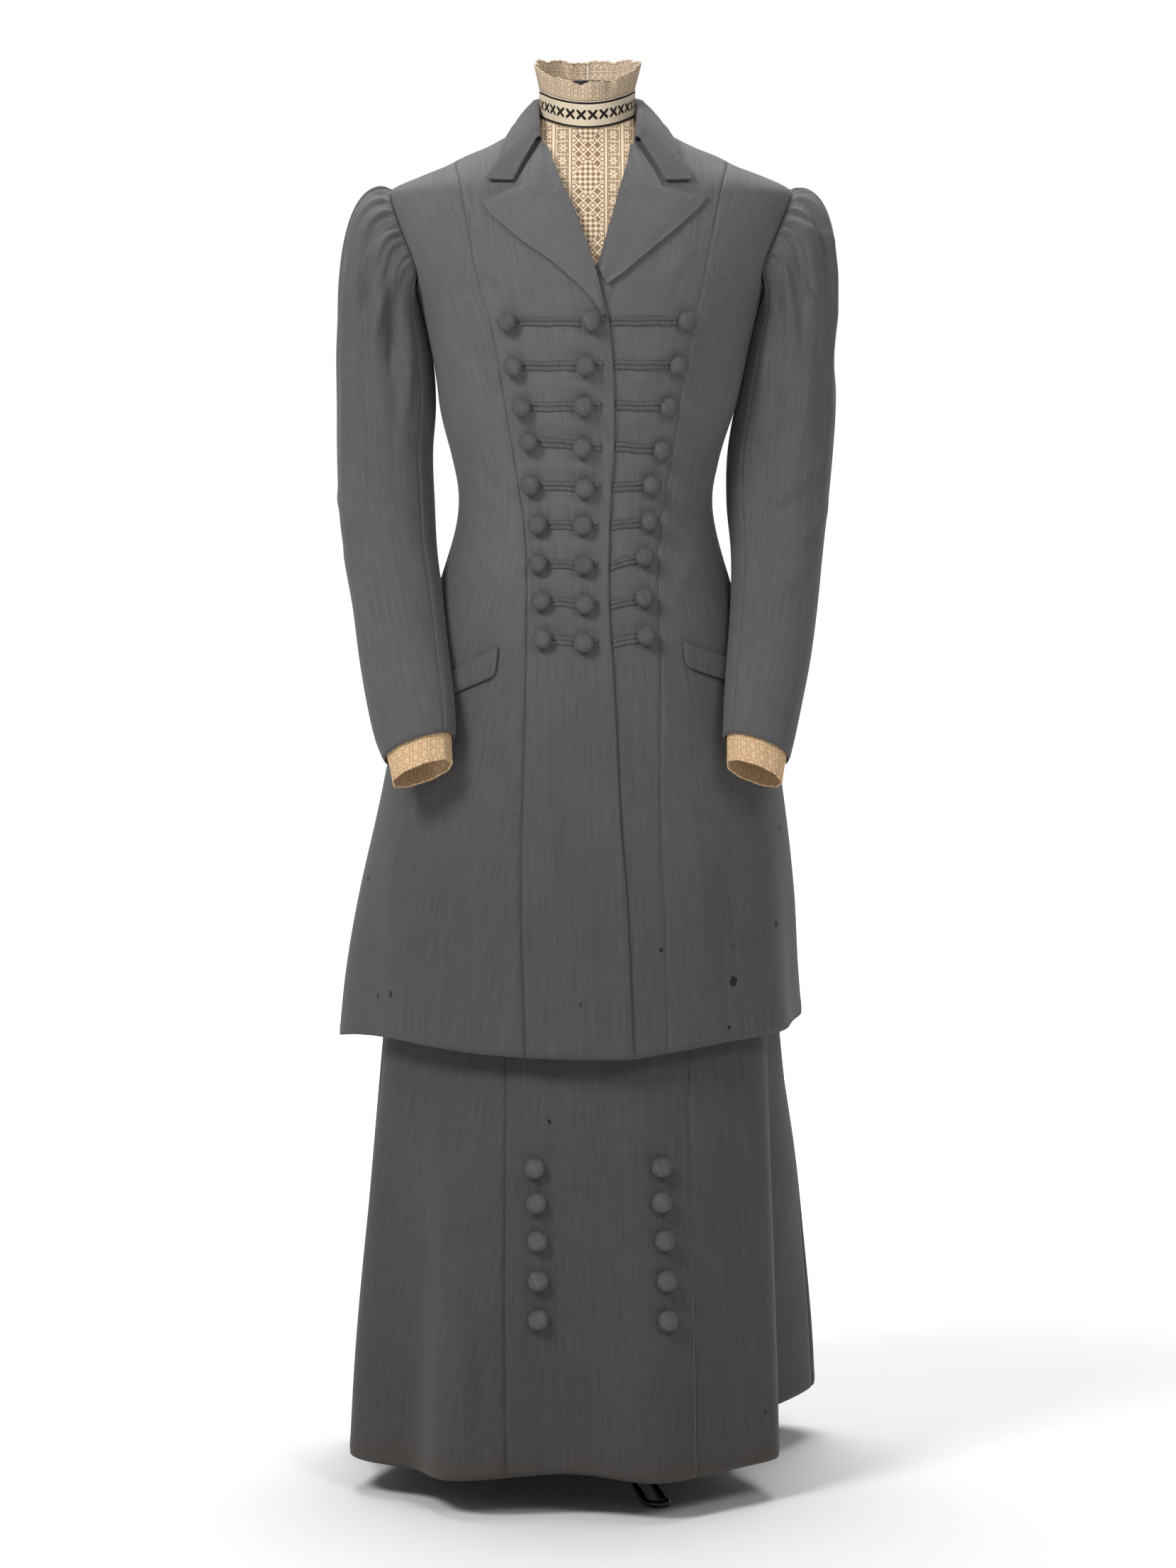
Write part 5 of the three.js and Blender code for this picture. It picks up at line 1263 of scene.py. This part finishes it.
def skirt_panel(node, from_top, to_top, from_hem, to_hem, columns):
    """A gore: its edges are angles that change evenly from waist to hem."""
    down = np.linspace(0, 1, 150)[:, None]
    place = np.linspace(0, 1, columns)[None, :]
    z = mix(WAIST, SKIRT_HEM, down) + 0 * place
    start, end = mix(from_top, from_hem, down), mix(to_top, to_hem, down)
    angle = np.radians(mix(start, end, place))
    hem = read(SKIRT_HEMS, "z", np.degrees(angle), key="angle")
    z = z + down**4 * (hem - SKIRT_HEM)
    plain = skirt_surface(z, angle)
    lift = skirt_lift(z, angle) + edge_roll(plain, (1.0, 1.0, 0, -0.5))
    points = moved_out(skirt_surface, z, angle, lift - 0.1)
    return cloth_piece(node, points, SKIRT_WOOL, CLOTH - 0.3, flip=False)


for gore in GORES:
    skirt_panel(*gore)

# %% Skirt buttons
SKIRT_BUTTONS = table(
    "z left right", (345, -51, 71), (311, -49.5, 71), (274, -49, 74), (235, -49, 75.5), (197, -49, 76.5)
)


def on_skirt(x, z):
    angle = angle_at(SKIRT, np.float64(x), np.float64(z))
    for _ in range(4):
        angle = angle + (x - skirt_surface(z, angle)[..., 0]) / 190
    return moved_out(skirt_surface, z, angle, skirt_lift(np.float64(z), angle))


for hand in ("left", "right"):
    for i, (x, z) in enumerate(zip(SKIRT_BUTTONS[hand], SKIRT_BUTTONS["z"])):
        foot = on_skirt(x, z)
        normal = np.cross(on_skirt(x + 7, z) - on_skirt(x - 7, z), on_skirt(x, z + 7) - on_skirt(x, z - 7))
        normal /= np.linalg.norm(normal)
        part = flipped(spun_button(foot + normal * 0.6, normal))
        piece = joined_mesh(f"skirt_button_{hand}_{i + 1}_cloth", [part], BUTTON_WOOL)
        take_place(piece, f"skirt_button_{hand}_{i + 1}")
print("ten skirt buttons made")

# %% [markdown]
# Lace
#
# The chemisette is of ecru cotton lace: a band round the neck with dark cross-stitch sprigs
# between two dark cords, a frill over it, and a vest front with bands of rosettes and lattice.
# The threads are raised, and the net between them is painted darker, as the shade seen through it.

# %% Lace pattern group
def lace_group():
    """Thread mask of a small repeat: rosettes in a net, from Place in metres and the repeat's size."""
    inputs = [("Place", VECTOR, (0, 0, 0)), ("Repeat", FLOAT, 0.011), ("Open", FLOAT, 0.5)]
    tree, given, result = new_group("lace_net", inputs, [("Thread", FLOAT), ("Height", FLOAT)])
    cell = math_node(tree, "DIVIDE", 1.0, given["Repeat"])
    values = {0: given["Place"], 3: cell}
    unit_place = new_node(tree, "ShaderNodeVectorMath", values, operation="SCALE").outputs[0]
    jitter = new_node(tree, "ShaderNodeTexNoise", {"Vector": unit_place, "Scale": 1.3}).outputs["Color"]
    shift = new_node(tree, "ShaderNodeVectorMath", {0: jitter, 3: 0.16}, operation="SCALE").outputs[0]
    bent = new_node(tree, "ShaderNodeVectorMath", {0: unit_place, 1: shift}, operation="ADD").outputs[0]
    local = new_node(tree, "ShaderNodeVectorMath", {0: bent}, operation="FRACTION").outputs[0]
    values = {0: local, 1: (0.5, 0.5, 0.5)}
    centred = new_node(tree, "ShaderNodeVectorMath", values, operation="SUBTRACT").outputs[0]
    parts = new_node(tree, "ShaderNodeSeparateXYZ", {0: centred}).outputs
    turn = math_node(tree, "ARCTAN2", parts["Y"], parts["X"])
    square_x = math_node(tree, "POWER", math_node(tree, "ABSOLUTE", parts["X"]), 2.0)
    square_y = math_node(tree, "POWER", math_node(tree, "ABSOLUTE", parts["Y"]), 2.0)
    squares = math_node(tree, "ADD", square_x, square_y)
    far = math_node(tree, "SQRT", squares)
    six_petals = math_node(tree, "COSINE", math_node(tree, "MULTIPLY", turn, 6.0))
    petal = math_node(tree, "MULTIPLY", six_petals, 0.075)
    rosette_edge = math_node(tree, "ADD", petal, 0.3)
    rosette = past(tree, rosette_edge, far, 14.0)
    eye = past(tree, far, 0.07, 22.0)
    flower = math_node(tree, "MULTIPLY", rosette, eye)
    slants = []
    for operation in ("ADD", "SUBTRACT"):
        slant = math_node(tree, "MULTIPLY", math_node(tree, operation, parts["X"], parts["Y"]), 4.0)
        middle = math_node(tree, "SUBTRACT", math_node(tree, "FRACT", slant), 0.5)
        slants.append(math_node(tree, "ABSOLUTE", middle))
    net = math_node(tree, "MAXIMUM", *slants)
    net = past(tree, net, given["Open"], 12.0)
    frame_x = past(tree, math_node(tree, "ABSOLUTE", parts["X"]), 0.43, 20.0)
    frame_y = past(tree, math_node(tree, "ABSOLUTE", parts["Y"]), 0.43, 20.0)
    pattern = math_node(tree, "MAXIMUM", flower, net)
    thread = math_node(tree, "MAXIMUM", pattern, math_node(tree, "MAXIMUM", frame_x, frame_y))
    tree.links.new(thread, result["Thread"])
    fibre = noise(tree, scaled(tree, given["Place"], (1400, 1400, 1)), 1.0, 2.0)
    tree.links.new(math_node(tree, "ADD", thread, math_node(tree, "MULTIPLY", fibre, 0.4)), result["Height"])
    return tree


LACE_NET = lace_group()
ECRU = (0.9, 0.72, 0.52, 1)
SHADOW_ECRU = (0.3, 0.2, 0.12, 1)


# The vest's strips, in metres from its middle line
TAPE_MIDDLE = 0.018
ROSETTE_FROM = 0.0195
ROSETTE_REPEAT = 0.0135
DIAMOND = (0.0165, 0.02, 0.052)  # half width, half height and repeat of the checked diamonds


def vest_group():
    """Thread mask of the vest: a lattice strip in the middle, tapes, and a strip of rosettes each side."""
    tree, given, result = new_group("vest_lace", [], [("Thread", FLOAT), ("Height", FLOAT)])
    place = new_node(tree, "ShaderNodeTexCoord").outputs["Object"]
    parts = new_node(tree, "ShaderNodeSeparateXYZ", {0: place}).outputs
    across = math_node(tree, "ABSOLUTE", parts["X"])

    def grid(cell):
        """Two slanting waves that cross, each 0 on the edges of square cells set on their points."""
        slants = [math_node(tree, operation, parts["X"], parts["Z"]) for operation in ("ADD", "SUBTRACT")]
        turns = [math_node(tree, "MULTIPLY", slant, math.pi / cell) for slant in slants]
        return [math_node(tree, "SINE", turn) for turn in turns]

    fine_a, fine_b = grid(0.0052)
    fine = math_node(tree, "MULTIPLY", math_node(tree, "MULTIPLY", fine_a, fine_b), 5.0)
    checks = math_node(tree, "ADD", fine, 0.75, clamp=True)
    wide_a, wide_b = grid(0.0094)
    sizes = [math_node(tree, "ABSOLUTE", wave) for wave in (wide_a, wide_b)]
    least = math_node(tree, "MINIMUM", *sizes)
    threads = past(tree, 0.42, least, 9.0)
    stars = past(tree, math_node(tree, "MULTIPLY", wide_a, wide_b), 0.62, 9.0)
    open_work = math_node(tree, "MAXIMUM", threads, stars)
    half, high, repeat = DIAMOND
    along = from_middle(tree, parts["Z"], repeat)
    rise = math_node(tree, "MULTIPLY", math_node(tree, "ABSOLUTE", along), repeat / high)
    reach = math_node(tree, "ADD", math_node(tree, "DIVIDE", across, half), rise)
    in_diamond = past(tree, 1.0, reach, 20.0)
    lattice = new_node(tree, "ShaderNodeMix", {"Factor": in_diamond, 2: open_work, 3: checks}).outputs[0]
    shifted = math_node(tree, "SUBTRACT", across, ROSETTE_FROM)
    flat = new_node(tree, "ShaderNodeCombineXYZ", {0: shifted, 1: parts["Z"]}).outputs[0]
    rosettes = place_group(tree, LACE_NET, {"Place": flat, "Repeat": ROSETTE_REPEAT, "Open": 0.36})["Thread"]
    outside = past(tree, across, TAPE_MIDDLE, 4000.0)
    thread = new_node(tree, "ShaderNodeMix", {"Factor": outside, 2: lattice, 3: rosettes}).outputs[0]
    for middle in (TAPE_MIDDLE, TAPE_MIDDLE + ROSETTE_REPEAT + 0.003):
        away = math_node(tree, "ABSOLUTE", math_node(tree, "SUBTRACT", across, middle))
        tape = past(tree, 0.0014, away, 4000.0)
        slot = past(tree, 0.0022, away, 4000.0)
        thread = math_node(tree, "MULTIPLY", thread, math_node(tree, "SUBTRACT", 1.0, slot))
        thread = math_node(tree, "MAXIMUM", thread, tape)
    tree.links.new(thread, result["Thread"])
    fibre = noise(tree, place, 1400.0, 2.0)
    tree.links.new(math_node(tree, "ADD", thread, math_node(tree, "MULTIPLY", fibre, 0.4)), result["Height"])
    return tree


def lace(name, repeat=None, thread=ECRU, gap=SHADOW_ECRU, cords=None, pattern=None):
    """Lace cloth with the vest's own pattern or a net of the given repeat; cords are dark sewn lines."""
    material = bpy.data.materials.new(name)
    material.use_nodes = True
    tree = material.node_tree
    shader = tree.nodes["Principled BSDF"]
    place = new_node(tree, "ShaderNodeUVMap", uv_map="cloth").outputs["UV"]
    if pattern:
        net = place_group(tree, pattern, {})
    else:
        net = place_group(tree, LACE_NET, {"Place": place, "Repeat": repeat, "Open": 0.33})
    # the gap colour fills the openings between the threads: painted shade
    values = {"Factor": net["Thread"], 6: gap, 7: thread}
    base = new_node(tree, "ShaderNodeMix", values, data_type="RGBA").outputs[2]
    if cords:
        base = band_marks(tree, place, base, cords)
    tree.links.new(base, shader.inputs["Base Color"])
    bump = new_node(tree, "ShaderNodeBump", {"Height": net["Height"], "Strength": 0.8, "Distance": 0.0007})
    tree.links.new(bump.outputs[0], shader.inputs["Normal"])
    shader.inputs["Roughness"].default_value = 0.8
    shader.inputs["Specular IOR Level"].default_value = 0.2
    return material


def band_marks(tree, place, base, cords):
    """Dark lines at the cords' heights, and a chain of small crosses, dark at the middle of the band."""
    parts = new_node(tree, "ShaderNodeSeparateXYZ", {0: place}).outputs
    mask = None
    for height in cords["lines"]:
        away = math_node(tree, "ABSOLUTE", math_node(tree, "SUBTRACT", parts["Y"], -height))
        line = past(tree, 0.0012, away, 4000.0)
        mask = line if mask is None else math_node(tree, "MAXIMUM", mask, line)
    step = cords["step"]
    along = from_middle(tree, parts["X"], step)
    across = math_node(tree, "DIVIDE", math_node(tree, "ADD", parts["Y"], cords["middle"]), step)
    one = math_node(tree, "ABSOLUTE", math_node(tree, "ADD", along, across))
    two = math_node(tree, "ABSOLUTE", math_node(tree, "SUBTRACT", along, across))
    arms = past(tree, 0.19, math_node(tree, "MINIMUM", one, two), 20.0)
    sizes = [math_node(tree, "ABSOLUTE", value) for value in (along, across)]
    reach = math_node(tree, "MAXIMUM", *sizes)
    near = past(tree, 0.44, reach, 20.0)
    mask = math_node(tree, "MAXIMUM", mask, math_node(tree, "MULTIPLY", arms, near))
    values = {"Factor": mask, 6: base, 7: (0.02, 0.017, 0.016, 1)}
    return new_node(tree, "ShaderNodeMix", values, data_type="RGBA").outputs[2]


VEST_LACE = lace("vest_lace", thread=(0.86, 0.68, 0.48, 1), pattern=vest_group())
# Metres under the band's top edge, and the length of one cross
BAND_CORDS = {"lines": (0.002, 0.0255), "middle": 0.0135, "step": 0.0118}
BAND_LACE = lace("band_lace", 0.0068, thread=(0.93, 0.8, 0.62, 1), gap=(0.74, 0.6, 0.43, 1), cords=BAND_CORDS)
FRILL_LACE = lace("frill_lace", 0.0075)
CUFF_LACE = lace("cuff_lace", 0.0095, thread=(0.93, 0.66, 0.4, 1), gap=(0.5, 0.3, 0.16, 1))

# %% Lace pieces
NECK_X, NECK_Y, NECK_HALF, NECK_DEPTH = -1, -10, 48.5, 63
BAND_HEIGHT = 27
LACE_WALL = 1.2


def band_foot(angle):
    return 1375 + 9 * np.sin(angle) ** 2 + 7 * (1 - np.cos(angle))


def neck_point(z, angle, out):
    x = NECK_X + (NECK_HALF + out) * np.sin(angle)
    y = NECK_Y - (NECK_DEPTH + out) * np.cos(angle)
    return np.stack(np.broadcast_arrays(x, y, z), -1)


slit = math.radians(0.5)
round_neck = np.linspace(slit - math.pi, math.pi - slit, 240)[None, :]
share = np.linspace(1, 0, 28)[:, None]
ripple = 0.35 * np.sin(11 * round_neck + 4 * share)
band = neck_point(band_foot(round_neck) + share * BAND_HEIGHT, round_neck, ripple + 0 * share)
cloth_piece("chemisette_band", band, BAND_LACE, LACE_WALL)
frill_height = mix(18, 34, (1 - np.cos(round_neck)) / 2)
wave = share * 2.2 * np.sin(9 * round_neck + 0.6 * np.sin(3 * round_neck))
wave = wave + share * 0.9 * np.sin(21 * round_neck + 1)
scallop = share**6 * 1.1 * np.abs(np.sin(26 * round_neck))
band_top = band_foot(round_neck) + BAND_HEIGHT
frill_z = band_top + 0.4 + share * (frill_height + wave * 0.6) - 1.2 * share + scallop
frill = neck_point(frill_z, round_neck, share * 4.5 + wave)
cloth_piece("chemisette_frill", frill, FRILL_LACE, LACE_WALL)

VEST = table(
    "z half middle",
    (1190, 27, 11),
    (1212, 30, 10),
    (1240, 36, 8),
    (1270, 44, 6),
    (1298, 52, 4),
    (1325, 60, 2),
    (1352, 66, 0),
)
VEST_INSET = CLOTH + 2.2
spread = math.radians(76)
fan = np.linspace(-spread, spread, 90)[None, :]
vest_z = np.linspace(1352, 1190, 120)[:, None] + 0 * fan
vest_x = read(VEST, "middle", vest_z) + read(VEST, "half", vest_z) * fan / spread
ripples = 0.5 * np.sin(0.16 * vest_x + 0.02 * vest_z) + 0.4 * np.sin(0.05 * vest_z)
vest = moved_out(jacket_surface, vest_z, angle_at(BODY, vest_x, vest_z), ripples - VEST_INSET)
top_row = neck_point(band_foot(fan) - 0.4, fan, 0)
climb = np.linspace(0, 1, 20)[:-1, None, None]
vest = np.concatenate([mix(top_row, vest[:1], climb), vest])
cloth_piece("chemisette_vest", vest, VEST_LACE, LACE_WALL)

for side, hand in ((-1, "left"), (1, "right")):
    turn = np.linspace(0, 2 * math.pi, 141)[None, :-1]
    z = np.linspace(CUFF_TOP, CUFF_HEM, 28)[:, None]
    flutes = (CUFF_TOP - z) / 47 * 0.7 * np.sin(9 * turn + side)
    flutes = flutes + (z < CUFF_HEM + 4) * 0.4 * np.sin(40 * turn)
    cuff = sleeve_tube(side, z + 0 * turn, turn + 0 * z, CLOTH + 1.7 - flutes)
    node = f"lace_cuff_{hand}"
    cloth_piece(node, cuff, CUFF_LACE, LACE_WALL, closed=True, flip=side > 0)

# %% [markdown]
# The dress form and its stand
#
# Under the suit stands a black limbless form on a pole, with feet bent from glossy rod. The form is
# covered in fine black jersey. Its pieces are smooth and plain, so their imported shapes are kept,
# rounded a little, and only the finish is made here.

# %% Form and stand
def plain_finish(name, colour, roughness, grain_scale, bump_strength, coat=0.0):
    material = bpy.data.materials.new(name)
    material.use_nodes = True
    tree = material.node_tree
    shader = tree.nodes["Principled BSDF"]
    place = new_node(tree, "ShaderNodeTexCoord").outputs["Object"]
    grain = noise(tree, place, grain_scale, 3.0)
    tone = math_node(tree, "ADD", math_node(tree, "MULTIPLY", grain, 0.6), 0.7)
    base = new_node(tree, "ShaderNodeVectorMath", {0: colour, 3: tone}, operation="SCALE").outputs[0]
    tree.links.new(base, shader.inputs["Base Color"])
    rough = math_node(tree, "ADD", math_node(tree, "MULTIPLY", grain, 0.14), roughness - 0.07)
    tree.links.new(rough, shader.inputs["Roughness"])
    bump = new_node(tree, "ShaderNodeBump", {"Height": grain, "Strength": bump_strength, "Distance": 0.0003})
    tree.links.new(bump.outputs[0], shader.inputs["Normal"])
    shader.inputs["Coat Weight"].default_value = coat
    return material


FORM_JERSEY = plain_finish("form_jersey", (0.012, 0.012, 0.013), 0.8, 900.0, 0.4)
STAND_ENAMEL = plain_finish("stand_enamel", (0.009, 0.009, 0.01), 0.2, 60.0, 0.05, coat=0.5)


def kept_piece(node, material, levels):
    """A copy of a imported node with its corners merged, smoothed by one or two subdivisions."""
    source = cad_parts[node]
    mesh = bpy.data.meshes.new(f"{node}_finished")
    shape = bmesh.new()
    shape.from_mesh(source.data)
    shape.transform(source.matrix_world)
    bmesh.ops.remove_doubles(shape, verts=shape.verts, dist=0.00002)
    shape.to_mesh(mesh)
    shape.free()
    piece = bpy.data.objects.new(f"{node}_finished", mesh)
    bpy.context.scene.collection.objects.link(piece)
    mesh.materials.append(material)
    bevel = piece.modifiers.new("edges", "BEVEL")
    bevel.width = 0.0012
    bevel.segments = 2
    bevel.limit_method = "ANGLE"
    bevel.angle_limit = math.radians(50)
    if levels:
        rounder = piece.modifiers.new("rounder", "SUBSURF")
        rounder.levels = rounder.render_levels = levels
    mesh.polygons.foreach_set("use_smooth", np.ones(len(mesh.polygons), bool))
    take_place(piece, node)
    return piece


kept_piece("dress_form", FORM_JERSEY, 1)
kept_piece("stand_pole", STAND_ENAMEL, 0)
kept_piece("stand_base", STAND_ENAMEL, 1)
# The waistband has the buttons' cloth, with its painted light and shade by facing.
kept_piece("skirt_waistband", BUTTON_WOOL, 0)

# %% [markdown]
# Studio
#
# The suit stands on white paper. Broad soft lights from both sides and from above and behind leave
# only gentle shadows; the one from the left is stronger. The paper far from the suit and the air
# over it look white to the camera, as if they had lights of their own. The camera is far away and
# looks slightly down, with a long lens.

# %% Floor, lights and camera
def pale_paper():
    """White paper that shows shadows near the suit, and looks evenly lit to the camera far from it."""
    material = bpy.data.materials.new("studio_paper")
    material.use_nodes = True
    tree = material.node_tree
    shader = tree.nodes["Principled BSDF"]
    shader.inputs["Base Color"].default_value = (0.93, 0.93, 0.925, 1)
    shader.inputs["Roughness"].default_value = 0.9
    place = new_node(tree, "ShaderNodeTexCoord").outputs["Object"]
    away = new_node(tree, "ShaderNodeVectorMath", {0: place}, operation="LENGTH").outputs["Value"]
    values = {"Value": away, 1: 0.7, 2: 2.4, 3: 0.0, 4: 1.0}
    far = new_node(tree, "ShaderNodeMapRange", values, interpolation_type="SMOOTHSTEP").outputs[0]
    seen = math_node(tree, "MULTIPLY", far, new_node(tree, "ShaderNodeLightPath").outputs["Is Camera Ray"])
    glow = new_node(tree, "ShaderNodeVectorMath", {0: (1, 1, 1), 3: seen}, operation="SCALE").outputs[0]
    tree.links.new(glow, shader.inputs["Emission Color"])
    shader.inputs["Emission Strength"].default_value = 1.0
    return material


run = np.linspace(-30000, 30000, 31)
paper = np.stack(np.broadcast_arrays(run[None, :], run[:, None], 0.0), -1)
floor = grid_mesh("studio_floor", paper[::-1], pale_paper())

LIGHTS = (
    # name, place and aim in metres, size in metres, watts
    ("left_window", (-1.7, -2.0, 2.9), (0, 0, 1.1), 1.1, 64),
    ("right_fill", (1.4, -2.9, 2.8), (0, 0, 1.1), 1.3, 30),
    ("overhead", (0.0, 1.5, 4.4), (0, 1.8, 0), 3.4, 170),
)
for name, spot, aim, size, power in LIGHTS:
    light = bpy.data.lights.new(name, "AREA")
    light.shape = "DISK"
    light.size = size
    light.energy = power
    lamp = bpy.data.objects.new(name, light)
    lamp.location = spot
    lamp.rotation_euler = (Vector(aim) - Vector(spot)).to_track_quat("-Z", "Y").to_euler()
    bpy.context.scene.collection.objects.link(lamp)

world = bpy.data.worlds.new("studio")
world.use_nodes = True
sky = world.node_tree.nodes["Background"]
sky.inputs["Color"].default_value = (1, 1, 1, 1)
camera_ray = new_node(world.node_tree, "ShaderNodeLightPath").outputs["Is Camera Ray"]
ambient = math_node(world.node_tree, "MAXIMUM", camera_ray, 0.22)
world.node_tree.links.new(ambient, sky.inputs["Strength"])
bpy.context.scene.world = world
bpy.context.scene.view_settings.view_transform = "Standard"

CAMERA_FAR, CAMERA_HIGH, PITCH_DOWN, FOCAL_PIXELS, PHOTO_TALL = 5000, 1100, 4.437, 6900, 2212
camera_data = bpy.data.cameras.new("camera")
camera_data.lens = FOCAL_PIXELS / PHOTO_TALL * camera_data.sensor_width
camera_data.clip_end = 100
camera = bpy.data.objects.new("camera", camera_data)
camera.location = (0, -(CAMERA_FAR + CENTRE_Y) * MM, CAMERA_HIGH * MM)
camera.rotation_euler = (math.radians(90 - PITCH_DOWN), 0, 0)
bpy.context.scene.collection.objects.link(camera)
bpy.context.scene.camera = camera
